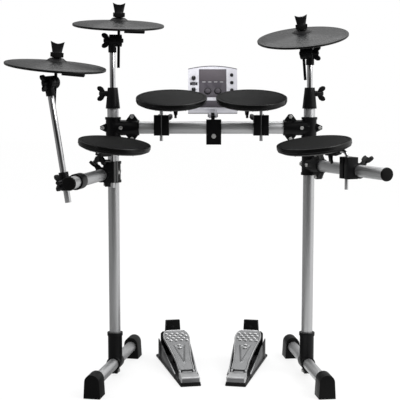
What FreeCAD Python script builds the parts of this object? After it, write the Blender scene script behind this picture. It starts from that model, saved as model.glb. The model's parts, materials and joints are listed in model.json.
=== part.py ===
import FreeCAD, Part
import math
import os
import Sketcher
from FreeCAD import Placement, Rotation, Vector

# Electronic drum kit: a tube rack with four pads, three cymbal pads, a sound module and two pedals.
# x runs to the player's right, y away from the player, z up from the floor.
# Driving dimensions, in millimetres and degrees.
sizes = {
    # the rack's middle, seen from the middle of the kit's footprint
    "rack_middle_x": 34.4,
    "rack_middle_y": 106.1,
    # clearances
    "fit": 0.1,
    "running_fit": 0.08,
    "seat_gap": 0.3,
    "overrun": 6,
    # rack tubes
    "tube_diameter": 32,
    "bar_diameter": 35,
    "tube_wall": 2,
    "leg_spacing": 556,
    "leg_foot": 58,
    "bar_height": 718,
    "leg_above_bar": 82,
    "side_inset": 30,
    "arm_reach": 383,
    "left_arm_drop": 125,
    "left_arm_turn": -101.5,
    "right_arm_drop": 104,
    "right_arm_turn": -66.2,
    "base_height": 38,
    "base_front_reach": 231,
    "base_back_reach": 219,
    "left_splay": -10.7,
    "right_splay": 7.6,
    # caps on the arm ends
    "cap_diameter": 36,
    "cap_thickness": 6,
    "cap_plug_depth": 14,
    # rubber boots
    "boot_width": 47,
    "boot_top_radius": 21,
    "boot_shoulder": 45,
    "boot_length": 50,
    "boot_end_wall": 6,
    # castings that grip the tubes
    "clamp_wall": 4.4,
    "rim_step": 2,
    "clamp_split": 1.2,
    # base clamps
    "base_sleeve_top": 127,
    "base_rim_height": 9,
    "base_ring_length": 46,
    "base_lug_width": 18,
    "base_lug_length": 26,
    "base_lug_foot": 7,
    "base_bolt_height": 13.8,
    # tee clamps
    "tee_height": 60,
    "tee_rim_height": 7,
    "tee_reach": 74,
    "tee_ear_thickness": 8,
    "tee_ear_reach": 36,
    "tee_ear_tip": 9,
    "tee_ear_root": 40,
    "tee_side_ear_place": 54,
    "tee_side_ear_height": 38,
    "tee_side_ear_tip": 9,
    "tee_side_ear_root": 36,
    "tee_bolt_inset": 7,
    "tee_neck_bolt_place": 23.2,
    "tee_spot_depth": 1.5,
    # clamp bolts
    "bolt_diameter": 6,
    "bolt_head_diameter": 10.5,
    "bolt_head_height": 4,
    "bolt_nut_diameter": 11,
    "bolt_nut_height": 5,
    # leg collars
    "collar_grip": 28,
    "collar_height": 59,
    "collar_top_diameter": 28.4,
    "collar_boss_height": 42,
    "collar_boss_reach": 22,
    # wing bolts
    "boss_diameter": 16,
    "wing_hub_diameter": 14,
    "wing_hub_tip_diameter": 10,
    "wing_span": 42,
    "wing_height": 22,
    "wing_thickness": 6.5,
    "screw_diameter": 6,
    # pad clamps on the tubes
    "pad_clamp_length": 42,
    "pad_clamp_front": 9,
    "pad_clamp_back": 6,
    "pad_clamp_drop": 21,
    "pad_clamp_rise": 36,
    "pad_clamp_boss_tilt": 45,
    "pad_clamp_boss_reach": 29,
    "pad_clamp_boss_shift": 9,
    "pad_clamp_slot": 6.4,
    "pad_rod_offset": 27.4,
    # pad rods
    "pad_rod_diameter": 9.5,
    "pad_rod_bend": 13,
    "pad_rod_tail": 2,
    # drum pads
    "pad_diameter": 196,
    "pad_top": 34,
    "pad_head_thickness": 11,
    "pad_head_bevel": 2,
    "pad_pan_height": 9,
    "pad_pan_inset": 2,
    "pad_pan_floor_diameter": 172,
    "pad_pan_shoulder": 5,
    "pad_pan_wall": 3,
    "pad_sensor_diameter": 34,
    "bracket_length": 36,
    "bracket_width": 25,
    "bracket_drop": 11,
    "bracket_screw_shift": 10,
    "jack_bore": 6.5,
    "jack_depth": 3.4,
    # where the pads hang
    "tom_spacing": 280,
    "tom_leg_out": 30,
    "tom_leg_rise": 63.5,
    "tom_rod_below": 36.5,
    "tom_tilt": 12.7,
    "tom_forward": 44,
    "snare_clamp_place": 98,
    "snare_leg_out": 31.5,
    "snare_leg_rise": 64,
    "snare_rod_below": 36,
    "snare_swivel": 44.1,
    "snare_tilt": 9.1,
    "snare_forward": 36,
    "snare_shift": -5.5,
    "floor_tom_clamp_place": 243,
    "floor_tom_leg_out": 45,
    "floor_tom_leg_rise": 50.5,
    "floor_tom_rod_below": 49.5,
    "floor_tom_swivel": -45,
    "floor_tom_tilt": 9.2,
    "floor_tom_forward": 57,
    "floor_tom_shift": 15.6,
    # cymbal rods
    "rod_diameter": 16,
    "rod_wall": 1.5,
    "rod_in_leg": 150,
    "crash_pivot_rise": 131,
    "crash_turn": 11.3,
    "crash_tilt": 9.5,
    "crash_stem_rise": 48,
    "ride_pivot_rise": 96,
    "ride_turn": -22.8,
    "ride_tilt": 16.2,
    "ride_stem_rise": 53,
    "hihat_clamp_inset": 65,
    "hihat_rod_offset": 34.5,
    "hihat_rod_lean": -8.46,
    "hihat_rod_drop": 55,
    "hihat_pivot_rise": 251,
    "hihat_turn": 63,
    "hihat_tilt": 15.2,
    "hihat_stem_rise": 46,
    "hihat_sleeve_length": 46,
    "hihat_ring_length": 40,
    "hihat_bridge_diameter": 27,
    # cymbal tilters
    "tilter_diameter": 34,
    "tilter_base_width": 16,
    "tilter_head_width": 17.6,
    "tilter_gap": 0.4,
    "tilter_socket_diameter": 23,
    "tilter_socket_depth": 33,
    "tilter_rod_stop": 18.5,
    "tilter_relief": 1,
    "tilter_bolt_diameter": 7,
    "tilter_nut_diameter": 12,
    "tilter_nut_height": 4.5,
    # cymbal stems, cups and felts
    "stem_diameter": 8,
    "stem_front": 8.5,
    "stem_drop": 75,
    "cup_diameter": 16,
    "cup_neck": 3,
    "cup_flange_diameter": 21,
    "cup_height": 11,
    "rock_gap": 0.85,
    "felt_diameter": 33,
    "felt_height": 13,
    "felt_foot_diameter": 16,
    "felt_chamfer": 2.5,
    # cymbal pads
    "cymbal_diameter": 254,
    "cymbal_crown_diameter": 60,
    "cymbal_rise": 9,
    "cymbal_skin": 3,
    "cymbal_lip": 1.2,
    "cymbal_shell_diameter": 224,
    "cymbal_shell_thickness": 3.8,
    "cymbal_layer_gap": 0.2,
    "bell_offset": 18,
    "bell_diameter": 53,
    "bell_top_diameter": 34,
    "bell_height": 7,
    "cymbal_hole": 12.4,
    "housing_length": 56,
    "housing_width": 30,
    "housing_depth": 30,
    "housing_start": 16,
    # cymbal wing nuts
    "nut_base_diameter": 24,
    "nut_tip_diameter": 15,
    "nut_span": 35,
    "nut_height": 28,
    "nut_thickness": 10,
    "nut_gap": 0.3,
    "stem_above_nut_share": 0.8,
    # sound module
    "module_middle": 5,
    "module_front": 28,
    "module_rise": 53,
    "module_lean": 28,
    "module_width": 142,
    "module_side_height": 130,
    "module_arch": 10,
    "module_depth": 26,
    "module_wall": 3,
    "module_back_depth": 6,
    "board_thickness": 1.6,
    "board_margin": 12,
    "board_post_length": 5,
    "board_post_diameter": 7,
    "panel_width": 79,
    "panel_height": 91,
    "panel_foot": 37,
    "panel_thickness": 1,
    "button_diameter": 9.6,
    "button_proud": 3,
    "pad_button_diameter": 15.2,
    "pad_button_spacing": 29,
    "pad_button_height": 56,
    "knob_diameter": 10.8,
    "knob_proud": 8,
    "switch_width": 21,
    "switch_height": 9.5,
    "switch_proud": 2.2,
    "control_gap": 0.3,
    "control_flange": 1.6,
    "control_flange_thickness": 1.5,
    "control_column": 55,
    "upper_knob_height": 97.5,
    "switch_place": 81,
    "lower_knob_height": 60,
    "upper_button_height": 108.8,
    "middle_button_height": 84,
    "lower_button_height": 59.5,
    # module saddle clamp and hinge
    "saddle_middle": 7,
    "saddle_width": 42,
    "saddle_side_wall": 6.4,
    "saddle_rise": 23,
    "saddle_drop": 47,
    "saddle_bolt_drop": 23,
    "saddle_bolt_diameter": 8,
    "saddle_bolt_head_diameter": 13,
    "saddle_bolt_head_height": 5,
    "hinge_back": 14,
    "hinge_drop": 14,
    "hinge_lug_radius": 8,
    "hinge_tongue_width": 10,
    "hinge_lug_width": 6,
    "hinge_pin_diameter": 7,
    "hinge_pin_head_diameter": 11,
    "hinge_pin_head_height": 3,
    # pedals
    "pedal_spread": 62,
    "pedal_heel": -118,
    "pedal_splay": 10.7,
    "pedal_length": 345,
    "pedal_heel_width": 58,
    "pedal_toe_width": 100,
    "pedal_plate": 7,
    "heel_block_start": 3,
    "heel_block_length": 52,
    "heel_block_width": 54,
    "heel_block_height": 19,
    "pedal_hinge_place": 66,
    "pedal_hinge_height": 19,
    "pedal_barrel_diameter": 14,
    "pedal_barrel_length": 34,
    "pedal_pin_diameter": 6,
    "pedal_ear_width": 6,
    "footboard_angle": 16.3,
    "footboard_inset": 47,
    "footboard_width": 80,
    "footboard_thickness": 6,
    "footboard_rise": 4,
    "wall_start": 78,
    "wall_end_inset": 41,
    "wall_thickness": 3,
    "wall_start_spread": 63,
    "wall_end_spread": 92,
    "wall_start_height": 8,
    "wall_end_height": 58,
    "tower_inset": 29,
    "tower_width": 48,
    "tower_thickness": 10,
    "tower_height": 110,
    "tower_shoulder_width": 74,
    "tower_shoulder_height": 74,
    "bumper_inset": 113,
    "bumper_diameter": 28,
    "bumper_top_diameter": 20,
}

# outlines as shares: a wing's corner across its span and up its height, right side
wing_shares = ((0.16, 0.0), (0.4, 0.24), (0.5, 0.56), (0.49, 0.86), (0.4, 1.0), (0.27, 0.96), (0.11, 0.64))
# the same for a cymbal's wing nut
nut_shares = ((0.34, 0.0), (0.4, 0.45), (0.5, 0.94), (0.45, 1.0), (0.3, 0.93), (0.07, 0.81))
# the footboard's half outline: share of its width, share of its length, from heel to toe
footboard_shares = ((0.29, 0.035), (0.3, 0.2), (0.47, 0.7), (0.5, 0.8), (0.49, 0.88), (0.42, 0.96), (0.3, 1.0))

doc = FreeCAD.newDocument("drum_kit")
sheet = doc.addObject("Spreadsheet::Sheet", "Sizes")
for row, (name, value) in enumerate(sizes.items(), start=1):
    sheet.set(f"A{row}", name)
    sheet.set(f"B{row}", str(value))
    sheet.setAlias(f"B{row}", name)
doc.recompute()


class Size:
    # A cell of the sheet, or a sum of cells: its value, and the formula that ties a dimension to it.
    def __init__(self, value, formula):
        self.value = value
        self.formula = formula

    def __float__(self):
        return float(self.value)

    def __neg__(self):
        return Size(-self.value, f"(0 - {self.formula})")

    def __add__(self, other):
        other = as_size(other)
        return Size(self.value + other.value, f"({self.formula} + {other.formula})")

    def __sub__(self, other):
        other = as_size(other)
        return Size(self.value - other.value, f"({self.formula} - {other.formula})")

    def __mul__(self, other):
        other = as_size(other)
        return Size(self.value * other.value, f"({self.formula} * {other.formula})")

    def __truediv__(self, other):
        other = as_size(other)
        return Size(self.value / other.value, f"({self.formula} / {other.formula})")

    def __rmul__(self, other):
        return as_size(other) * self


def as_size(item):
    if isinstance(item, Size):
        return item
    return Size(item, f"({item})")


class Cells:
    def __getattr__(self, name):
        return Size(float(sheet.get(name)), f"Sizes.{name}")


cell = Cells()
nodes = []
x_axis = Vector(1, 0, 0)
y_axis = Vector(0, 1, 0)
z_axis = Vector(0, 0, 1)
lie_along_x = Rotation(y_axis, 90)
lie_along_y = Rotation(x_axis, -90)
point_forward = Rotation(x_axis, 90)
half_turn = Rotation(z_axis, 180)


def turn(axis, angle):
    return Rotation(axis, float(angle))


def at(x=0, y=0, z=0, rotation=None):
    return Placement(Vector(float(x), float(y), float(z)), rotation or Rotation())


def bind(item, **dimensions):
    for name, size in dimensions.items():
        item.setExpression(name, as_size(size).formula)
    return item


def cylinder(diameter, height, place=None):
    item = bind(doc.addObject("Part::Cylinder", "cylinder"), Radius=diameter / 2, Height=height)
    item.Placement = place or at()
    return item


def cone(diameter, top_diameter, height, place=None):
    item = doc.addObject("Part::Cone", "cone")
    bind(item, Radius1=diameter / 2, Radius2=top_diameter / 2, Height=height)
    item.Placement = place or at()
    return item


def block(length, width, height, place=None):
    # centred on its place in x and y, standing on it in z
    item = bind(doc.addObject("Part::Box", "block"), Length=length, Width=width, Height=height)
    item.Placement = (place or at()) * at(-length / 2, -width / 2)
    return item


def hexagon(diameter, height, place=None):
    item = bind(doc.addObject("Part::Prism", "hexagon"), Circumradius=diameter / 2, Height=height)
    item.Polygon = 6
    item.Placement = place or at()
    return item


def fuse(*items):
    item = doc.addObject("Part::MultiFuse", "joined")
    item.Shapes = list(items)
    return item


def cut(base, *tools):
    item = doc.addObject("Part::Cut", "cut")
    item.Base = base
    item.Tool = tools[0] if len(tools) == 1 else fuse(*tools)
    return item


def group(*items):
    item = doc.addObject("Part::Compound", "group")
    item.Links = list(items)
    return item


def copy(master, place):
    item = doc.addObject("App::Link", "copy")
    item.LinkedObject = master
    item.Placement = place
    return item


def node(label, item, place=None):
    item.Label = label
    if place:
        item.Placement = place
    nodes.append(item)
    return item


def hold(sketch, edge, point, axis, size):
    # ties one coordinate of a sketch point to its size
    if float(size) == 0:
        sketch.addConstraint(Sketcher.Constraint("PointOnObject", edge, point, -2 if axis == "X" else -1))
        return
    rule = Sketcher.Constraint(f"Distance{axis}", -1, 1, edge, point, float(size))
    sketch.setExpression(f"Constraints[{sketch.addConstraint(rule)}]", as_size(size).formula)


def arc_between(start, end, centre_height):
    # counter-clockwise arc from start to end, with its centre at a given height
    chord = end - start
    reach = (end.Length ** 2 - start.Length ** 2) / 2
    centre = Vector((reach - chord.y * centre_height) / chord.x, centre_height, 0)
    first = math.atan2(start.y - centre.y, start.x - centre.x)
    last = math.atan2(end.y - centre.y, end.x - centre.x)
    return Part.ArcOfCircle(Part.Circle(centre, z_axis, (start - centre).Length), first, last)


def outline(body, role, corners):
    # closed outline, counter-clockwise; a third value in a corner is the centre height of the arc after it
    plane = next(item for item in body.Origin.OriginFeatures if item.Role == role)
    sketch = body.newObject("Sketcher::SketchObject", "outline")
    sketch.AttachmentSupport = [(plane, "")]
    sketch.MapMode = "FlatFace"
    points = [Vector(float(corner[0]), float(corner[1]), 0) for corner in corners]
    ends = points[1:] + points[:1]
    for corner, start, end in zip(corners, points, ends):
        if len(corner) == 3:
            sketch.addGeometry(arc_between(start, end, float(corner[2])))
        else:
            sketch.addGeometry(Part.LineSegment(start, end))
    for edge, corner in enumerate(corners):
        after = (edge + 1) % len(corners)
        sketch.addConstraint(Sketcher.Constraint("Coincident", edge, 2, after, 1))
        hold(sketch, edge, 1, "X", corner[0])
        hold(sketch, edge, 1, "Y", corner[1])
        if len(corner) == 3:
            hold(sketch, edge, 3, "Y", corner[2])
    return sketch


def padded(role, corners, thickness, side="One side", backwards=False):
    body = doc.addObject("PartDesign::Body", "body")
    sketch = outline(body, role, corners)
    pad = body.newObject("PartDesign::Pad", "pad")
    pad.Profile = sketch
    pad.SideType = side
    pad.Reversed = backwards
    bind(pad, Length=thickness)
    return body


def turned(corners):
    body = doc.addObject("PartDesign::Body", "body")
    sketch = outline(body, "XZ_Plane", corners)
    spin = body.newObject("PartDesign::Revolution", "turned")
    spin.Profile = sketch
    spin.ReferenceAxis = (sketch, ["V_Axis"])
    spin.Angle = 360
    return body


def both_sides(half):
    # a half outline, from the bottom up on the right, closed with its mirror image
    return half + [(-corner[0], corner[1]) for corner in reversed(half)]


def tube(diameter, wall, length):
    bore = cylinder(diameter - wall * 2, length + cell.overrun * 2, at(z=-cell.overrun))
    return cut(cylinder(diameter, length), bore)


def wings(shares, span, height, thickness):
    half = [(span * across, height * up) for across, up in shares]
    return padded("XZ_Plane", both_sides(half), thickness, "Symmetric")


def wing_bolt(screw_length):
    # the screw points down, the wings stand above
    hub = cone(cell.wing_hub_diameter, cell.wing_hub_tip_diameter, cell.wing_height * 3 / 4)
    wing = wings(wing_shares, cell.wing_span, cell.wing_height, cell.wing_thickness)
    return fuse(hub, wing, cylinder(cell.screw_diameter, screw_length, at(z=-screw_length)))


def bolt(grip):
    # the head stands above, the nut sits at the far end of the grip
    head = cylinder(cell.bolt_head_diameter, cell.bolt_head_height)
    shank = cylinder(cell.bolt_diameter, grip, at(z=-grip))
    nut = hexagon(cell.bolt_nut_diameter, cell.bolt_nut_height, at(z=-grip - cell.bolt_nut_height))
    return fuse(head, shank, nut)


# Heights that follow the crossbar, and places that follow the arms' ends
leg_top = cell.bar_height + cell.leg_above_bar
left_arm_height = cell.bar_height - cell.left_arm_drop
right_arm_height = cell.bar_height - cell.right_arm_drop
module_foot = cell.bar_height + cell.module_rise
hihat_clamp_place = cell.arm_reach - cell.hihat_clamp_inset
collar_foot = leg_top - cell.collar_grip
crash_pivot_height = collar_foot + cell.collar_height + cell.crash_pivot_rise
ride_pivot_height = collar_foot + cell.collar_height + cell.ride_pivot_rise

# Frames that the pieces share
rack = at(cell.rack_middle_x, cell.rack_middle_y)
left_leg = rack * at(-cell.leg_spacing / 2)
right_leg = rack * at(cell.leg_spacing / 2)
left_arm = left_leg * at(z=left_arm_height, rotation=turn(z_axis, cell.left_arm_turn))
right_arm = right_leg * at(z=right_arm_height, rotation=turn(z_axis, cell.right_arm_turn))
left_base = left_leg * at(rotation=turn(z_axis, cell.left_splay))
right_base = right_leg * at(rotation=turn(z_axis, cell.right_splay))
left_tee = left_leg * at(z=cell.bar_height)
right_tee = right_leg * at(z=cell.bar_height, rotation=half_turn)

tube_bore = cell.tube_diameter + cell.fit * 2
tube_sleeve = tube_bore + cell.clamp_wall * 2
rod_bore = cell.rod_diameter + cell.running_fit * 2
screw_bore = cell.screw_diameter + cell.fit * 2
bolt_bore = cell.bolt_diameter + cell.fit * 2


def make_tubes():
    leg = tube(cell.tube_diameter, cell.tube_wall, leg_top - cell.leg_foot)
    node("leg_tubes", group(*(copy(leg, side * at(z=cell.leg_foot)) for side in (left_leg, right_leg))))

    bar = tube(cell.bar_diameter, cell.tube_wall, cell.leg_spacing - cell.side_inset * 2)
    node("crossbar_tube", bar, left_tee * at(cell.side_inset, rotation=lie_along_x))

    arm = tube(cell.tube_diameter, cell.tube_wall, cell.arm_reach - cell.side_inset)
    arm_start = at(cell.side_inset, rotation=lie_along_x)
    node("arm_tubes", group(*(copy(arm, side * arm_start) for side in (left_arm, right_arm))))

    base = tube(cell.tube_diameter, cell.tube_wall, cell.base_front_reach + cell.base_back_reach)
    base_end = at(0, -cell.base_front_reach, cell.base_height, lie_along_y)
    node("base_tubes", group(*(copy(base, side * base_end) for side in (left_base, right_base))))

    plug_diameter = cell.tube_diameter - cell.tube_wall * 2 - cell.fit * 2
    plug = cylinder(plug_diameter, cell.cap_plug_depth, at(z=-cell.cap_plug_depth))
    cap = fuse(cone(cell.cap_diameter, cell.cap_diameter - cell.rim_step, cell.cap_thickness), plug)
    cap_place = at(cell.arm_reach, rotation=lie_along_x)
    node("arm_caps", group(*(copy(cap, side * cap_place) for side in (left_arm, right_arm))))


def make_boots():
    half_width = cell.boot_width / 2
    corners = [(-half_width, 0), (half_width, 0), (cell.boot_top_radius, cell.boot_shoulder, cell.boot_shoulder),
               (-cell.boot_top_radius, cell.boot_shoulder)]
    socket_depth = cell.boot_length - cell.boot_end_wall
    socket = cylinder(tube_bore, socket_depth + cell.overrun, at(0, cell.overrun, cell.base_height, point_forward))
    boot = cut(padded("XZ_Plane", corners, cell.boot_length), socket)
    places = []
    for side in (left_base, right_base):
        places.append(side * at(0, -cell.base_front_reach + socket_depth))
        places.append(side * at(0, cell.base_back_reach - socket_depth, 0, half_turn))
    node("foot_boots", group(*(copy(boot, place) for place in places)))


def make_base_clamps():
    sleeve_height = cell.base_sleeve_top - cell.base_height
    sleeve = cylinder(tube_sleeve, sleeve_height, at(z=cell.base_height))
    rim_place = at(z=cell.base_sleeve_top - cell.base_rim_height)
    rim = cylinder(tube_sleeve + cell.rim_step * 2, cell.base_rim_height, rim_place)
    ring_end = at(0, -cell.base_ring_length / 2, cell.base_height, lie_along_y)
    ring = cylinder(tube_sleeve, cell.base_ring_length, ring_end)
    lug_height = cell.base_height - cell.base_lug_foot
    lug = block(cell.base_lug_width, cell.base_lug_length, lug_height, at(z=cell.base_lug_foot))
    leg_socket = cylinder(tube_bore, sleeve_height, at(z=cell.leg_foot))
    through_end = at(0, -cell.base_ring_length / 2 - cell.overrun, cell.base_height, lie_along_y)
    through = cylinder(tube_bore, cell.base_ring_length + cell.overrun * 2, through_end)
    slit_length = cell.base_ring_length + cell.overrun * 2
    slit = block(cell.clamp_split, slit_length, cell.base_height, at())
    bolt_end = at(-cell.base_lug_width, 0, cell.base_bolt_height, lie_along_x)
    bolt_hole = cylinder(bolt_bore, cell.base_lug_width * 2, bolt_end)
    clamp = cut(fuse(sleeve, rim, ring, lug), leg_socket, through, slit, bolt_hole)
    node("base_clamps", group(copy(clamp, left_base), copy(clamp, right_base)))


def tee_half(side_diameter):
    # front half of a tee clamp: leg along z, side tube along x, parting face towards +y
    side_sleeve = side_diameter + cell.fit * 2 + cell.clamp_wall * 2
    upright = cylinder(tube_sleeve, cell.tee_height, at(z=-cell.tee_height / 2))
    rim_diameter = tube_sleeve + cell.rim_step * 2
    upper_rim = cylinder(rim_diameter, cell.tee_rim_height, at(z=cell.tee_height / 2 - cell.tee_rim_height))
    lower_rim = cylinder(rim_diameter, cell.tee_rim_height, at(z=-cell.tee_height / 2))
    side = cylinder(side_sleeve, cell.tee_reach, at(rotation=lie_along_x))
    tip = cell.tee_ear_tip / 2
    root = cell.tee_ear_root / 2
    near = cell.tee_side_ear_place - cell.tee_side_ear_root / 2
    far = cell.tee_side_ear_place + cell.tee_side_ear_root / 2
    side_tip = cell.tee_side_ear_tip / 2
    lower = [(-cell.tee_ear_reach, -tip), (-tip, -root), (near, -root),
             (cell.tee_side_ear_place - side_tip, -cell.tee_side_ear_height),
             (cell.tee_side_ear_place + side_tip, -cell.tee_side_ear_height), (far, -root)]
    corners = lower + [(x, -z) for x, z in reversed(lower)]
    ears = padded("XZ_Plane", corners, cell.tee_ear_thickness)
    leg_bore = cylinder(tube_bore, cell.tee_height + cell.overrun * 2, at(z=-cell.tee_height / 2 - cell.overrun))
    side_bore_diameter = side_diameter + cell.fit * 2
    side_bore_length = cell.tee_reach - cell.side_inset + cell.overrun
    side_bore = cylinder(side_bore_diameter, side_bore_length, at(cell.side_inset, rotation=lie_along_x))
    spread = cell.tee_reach * 3
    rear = block(spread, spread, spread, at(0, spread / 2 - cell.clamp_split / 2, -spread / 2))
    neck_seat = side_sleeve / 2 - cell.tee_spot_depth
    spot_place = at(cell.tee_neck_bolt_place, -neck_seat, 0, point_forward)
    spot = cylinder(cell.bolt_nut_diameter + cell.fit * 2, side_sleeve, spot_place)
    holes = [cylinder(bolt_bore, side_sleeve, at(x, 0, z, point_forward)) for x, z in tee_bolts()]
    neck_hole = cylinder(bolt_bore, side_sleeve, at(cell.tee_neck_bolt_place, rotation=point_forward))
    return cut(fuse(upright, upper_rim, lower_rim, side, ears), leg_bore, side_bore, rear, spot, neck_hole, *holes)


def tee_bolts():
    # places of the ear bolts on a tee clamp
    ear = cell.tee_side_ear_height - cell.tee_bolt_inset
    return [(-cell.tee_ear_reach + cell.tee_bolt_inset, 0), (cell.tee_side_ear_place, ear),
            (cell.tee_side_ear_place, -ear)]


def make_tee_clamps():
    rear_half = at(rotation=turn(x_axis, 180))
    halves = []
    bolts = []
    for side_diameter, places in ((cell.bar_diameter, (left_tee, right_tee)),
                                  (cell.tube_diameter, (left_arm, right_arm))):
        half = tee_half(side_diameter)
        ear_bolt = bolt(cell.tee_ear_thickness * 2)
        neck_grip = side_diameter + (cell.fit + cell.clamp_wall - cell.tee_spot_depth) * 2
        neck_bolt = bolt(neck_grip)
        for place in places:
            halves += [copy(half, place), copy(half, place * rear_half)]
            for x, z in tee_bolts():
                bolts.append(copy(ear_bolt, place * at(x, -cell.tee_ear_thickness, z, point_forward)))
            neck_place = at(cell.tee_neck_bolt_place, -neck_grip / 2, 0, point_forward)
            bolts.append(copy(neck_bolt, place * neck_place))
    node("tee_clamps", group(*halves))
    base_bolt = bolt(cell.base_lug_width)
    for side in (left_base, right_base):
        bolts.append(copy(base_bolt, side * at(cell.base_lug_width / 2, 0, cell.base_bolt_height, lie_along_x)))
    node("clamp_bolts", group(*bolts))


def make_collars():
    # the boss of the wing bolt points along x, outwards
    shell = cone(tube_sleeve, cell.collar_top_diameter, cell.collar_height)
    boss_place = at(0, 0, cell.collar_boss_height, lie_along_x)
    boss = cylinder(cell.boss_diameter, cell.collar_boss_reach, boss_place)
    leg_bore = cylinder(tube_bore, cell.collar_grip + cell.overrun, at(z=-cell.overrun))
    rod_hole = cylinder(rod_bore, cell.collar_height + cell.overrun * 2, at(z=-cell.overrun))
    screw_hole = cylinder(screw_bore, cell.collar_boss_reach + cell.overrun, boss_place)
    collar = cut(fuse(shell, boss), leg_bore, rod_hole, screw_hole)
    places = [left_leg * at(z=collar_foot, rotation=half_turn), right_leg * at(z=collar_foot)]
    node("leg_collars", group(*(copy(collar, place) for place in places)))
    screw = wing_bolt(cell.collar_boss_reach - cell.rod_diameter / 2 - cell.seat_gap)
    return [copy(screw, place * at(cell.collar_boss_reach, 0, cell.collar_boss_height, lie_along_x))
            for place in places]


def pad_clamp(tube_diameter, boss_side):
    # tube along x, the pad's rod upright on the -y side in a bore slit open at the front,
    # wing bolt at the upper +y side
    bore = tube_diameter + cell.fit * 2
    sleeve = bore + cell.clamp_wall * 2
    length = cell.pad_clamp_length
    ring = cylinder(sleeve, length, at(-length / 2, rotation=lie_along_x))
    depth = cell.pad_rod_offset + cell.pad_clamp_front - cell.pad_clamp_back
    jaw_middle = -cell.pad_clamp_back - depth / 2
    jaw = block(length, depth, cell.pad_clamp_drop + cell.pad_clamp_rise, at(0, jaw_middle, -cell.pad_clamp_drop))
    boss_place = pad_clamp_boss(boss_side)
    boss = cylinder(cell.boss_diameter, cell.pad_clamp_boss_reach, boss_place)
    tube_end = at(-length / 2 - cell.overrun, rotation=lie_along_x)
    tube_hole = cylinder(bore, length + cell.overrun * 2, tube_end)
    rod_height = cell.pad_clamp_drop + cell.pad_clamp_rise + cell.overrun * 2
    rod_place = at(0, -cell.pad_rod_offset, -cell.pad_clamp_drop - cell.overrun)
    rod_hole = cylinder(cell.pad_rod_diameter + cell.running_fit * 2, rod_height, rod_place)
    slot_place = rod_place * at(0, -cell.pad_clamp_front / 2)
    slot = block(cell.pad_clamp_slot, cell.pad_clamp_front + cell.overrun, rod_height, slot_place)
    screw_hole = cylinder(screw_bore, cell.pad_clamp_boss_reach + cell.overrun, boss_place)
    return cut(fuse(ring, jaw, boss), tube_hole, rod_hole, slot, screw_hole)


def pad_clamp_boss(boss_side):
    return at(cell.pad_clamp_boss_shift * boss_side, rotation=turn(x_axis, -cell.pad_clamp_boss_tilt))


# Where each pad's clamp sits, and how its rod and pad stand from there
tom_side = cell.tom_spacing / 2
pads = {
    "snare": dict(
        clamp=left_arm * at(cell.snare_clamp_place, rotation=half_turn), tube=cell.tube_diameter, boss_side=1,
        corner_side=1, swivel=cell.snare_swivel, tilt=cell.snare_tilt, leg_out=cell.snare_leg_out,
        height=left_arm_height + cell.snare_leg_rise, drop=cell.snare_leg_rise + cell.snare_rod_below,
        forward=cell.snare_forward, shift=cell.snare_shift, wing_turn=90),
    "tom_1": dict(
        clamp=rack * at(-tom_side, 0, cell.bar_height), tube=cell.bar_diameter, boss_side=1,
        corner_side=-1, swivel=as_size(0), tilt=cell.tom_tilt, leg_out=cell.tom_leg_out,
        height=cell.bar_height + cell.tom_leg_rise, drop=cell.tom_leg_rise + cell.tom_rod_below,
        forward=cell.tom_forward, shift=as_size(0), wing_turn=90),
    "tom_2": dict(
        clamp=rack * at(tom_side, 0, cell.bar_height), tube=cell.bar_diameter, boss_side=-1,
        corner_side=1, swivel=as_size(0), tilt=cell.tom_tilt, leg_out=cell.tom_leg_out,
        height=cell.bar_height + cell.tom_leg_rise, drop=cell.tom_leg_rise + cell.tom_rod_below,
        forward=cell.tom_forward, shift=as_size(0), wing_turn=90),
    "floor_tom": dict(
        clamp=right_arm * at(cell.floor_tom_clamp_place), tube=cell.tube_diameter, boss_side=1,
        corner_side=1, swivel=cell.floor_tom_swivel, tilt=cell.floor_tom_tilt, leg_out=cell.floor_tom_leg_out,
        height=right_arm_height + cell.floor_tom_leg_rise,
        drop=cell.floor_tom_leg_rise + cell.floor_tom_rod_below,
        forward=cell.floor_tom_forward, shift=cell.floor_tom_shift, wing_turn=45),
}


def pad_rod(leg_out, drop):
    # upright leg down from the bend, short leg towards -x through the bracket
    bend = cell.pad_rod_bend
    upright = cylinder(cell.pad_rod_diameter, drop - bend, at(z=-drop))
    elbow = bind(doc.addObject("Part::Torus", "elbow"), Radius1=bend, Radius2=cell.pad_rod_diameter / 2)
    elbow.Angle3 = 90
    elbow.Placement = at(-bend, 0, -bend, turn(x_axis, 90))
    leg_length = leg_out + cell.bracket_length / 2 + cell.pad_rod_tail - bend
    leg = cylinder(cell.pad_rod_diameter, leg_length, at(-bend - leg_length, rotation=lie_along_x))
    return fuse(upright, elbow, leg)


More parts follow.
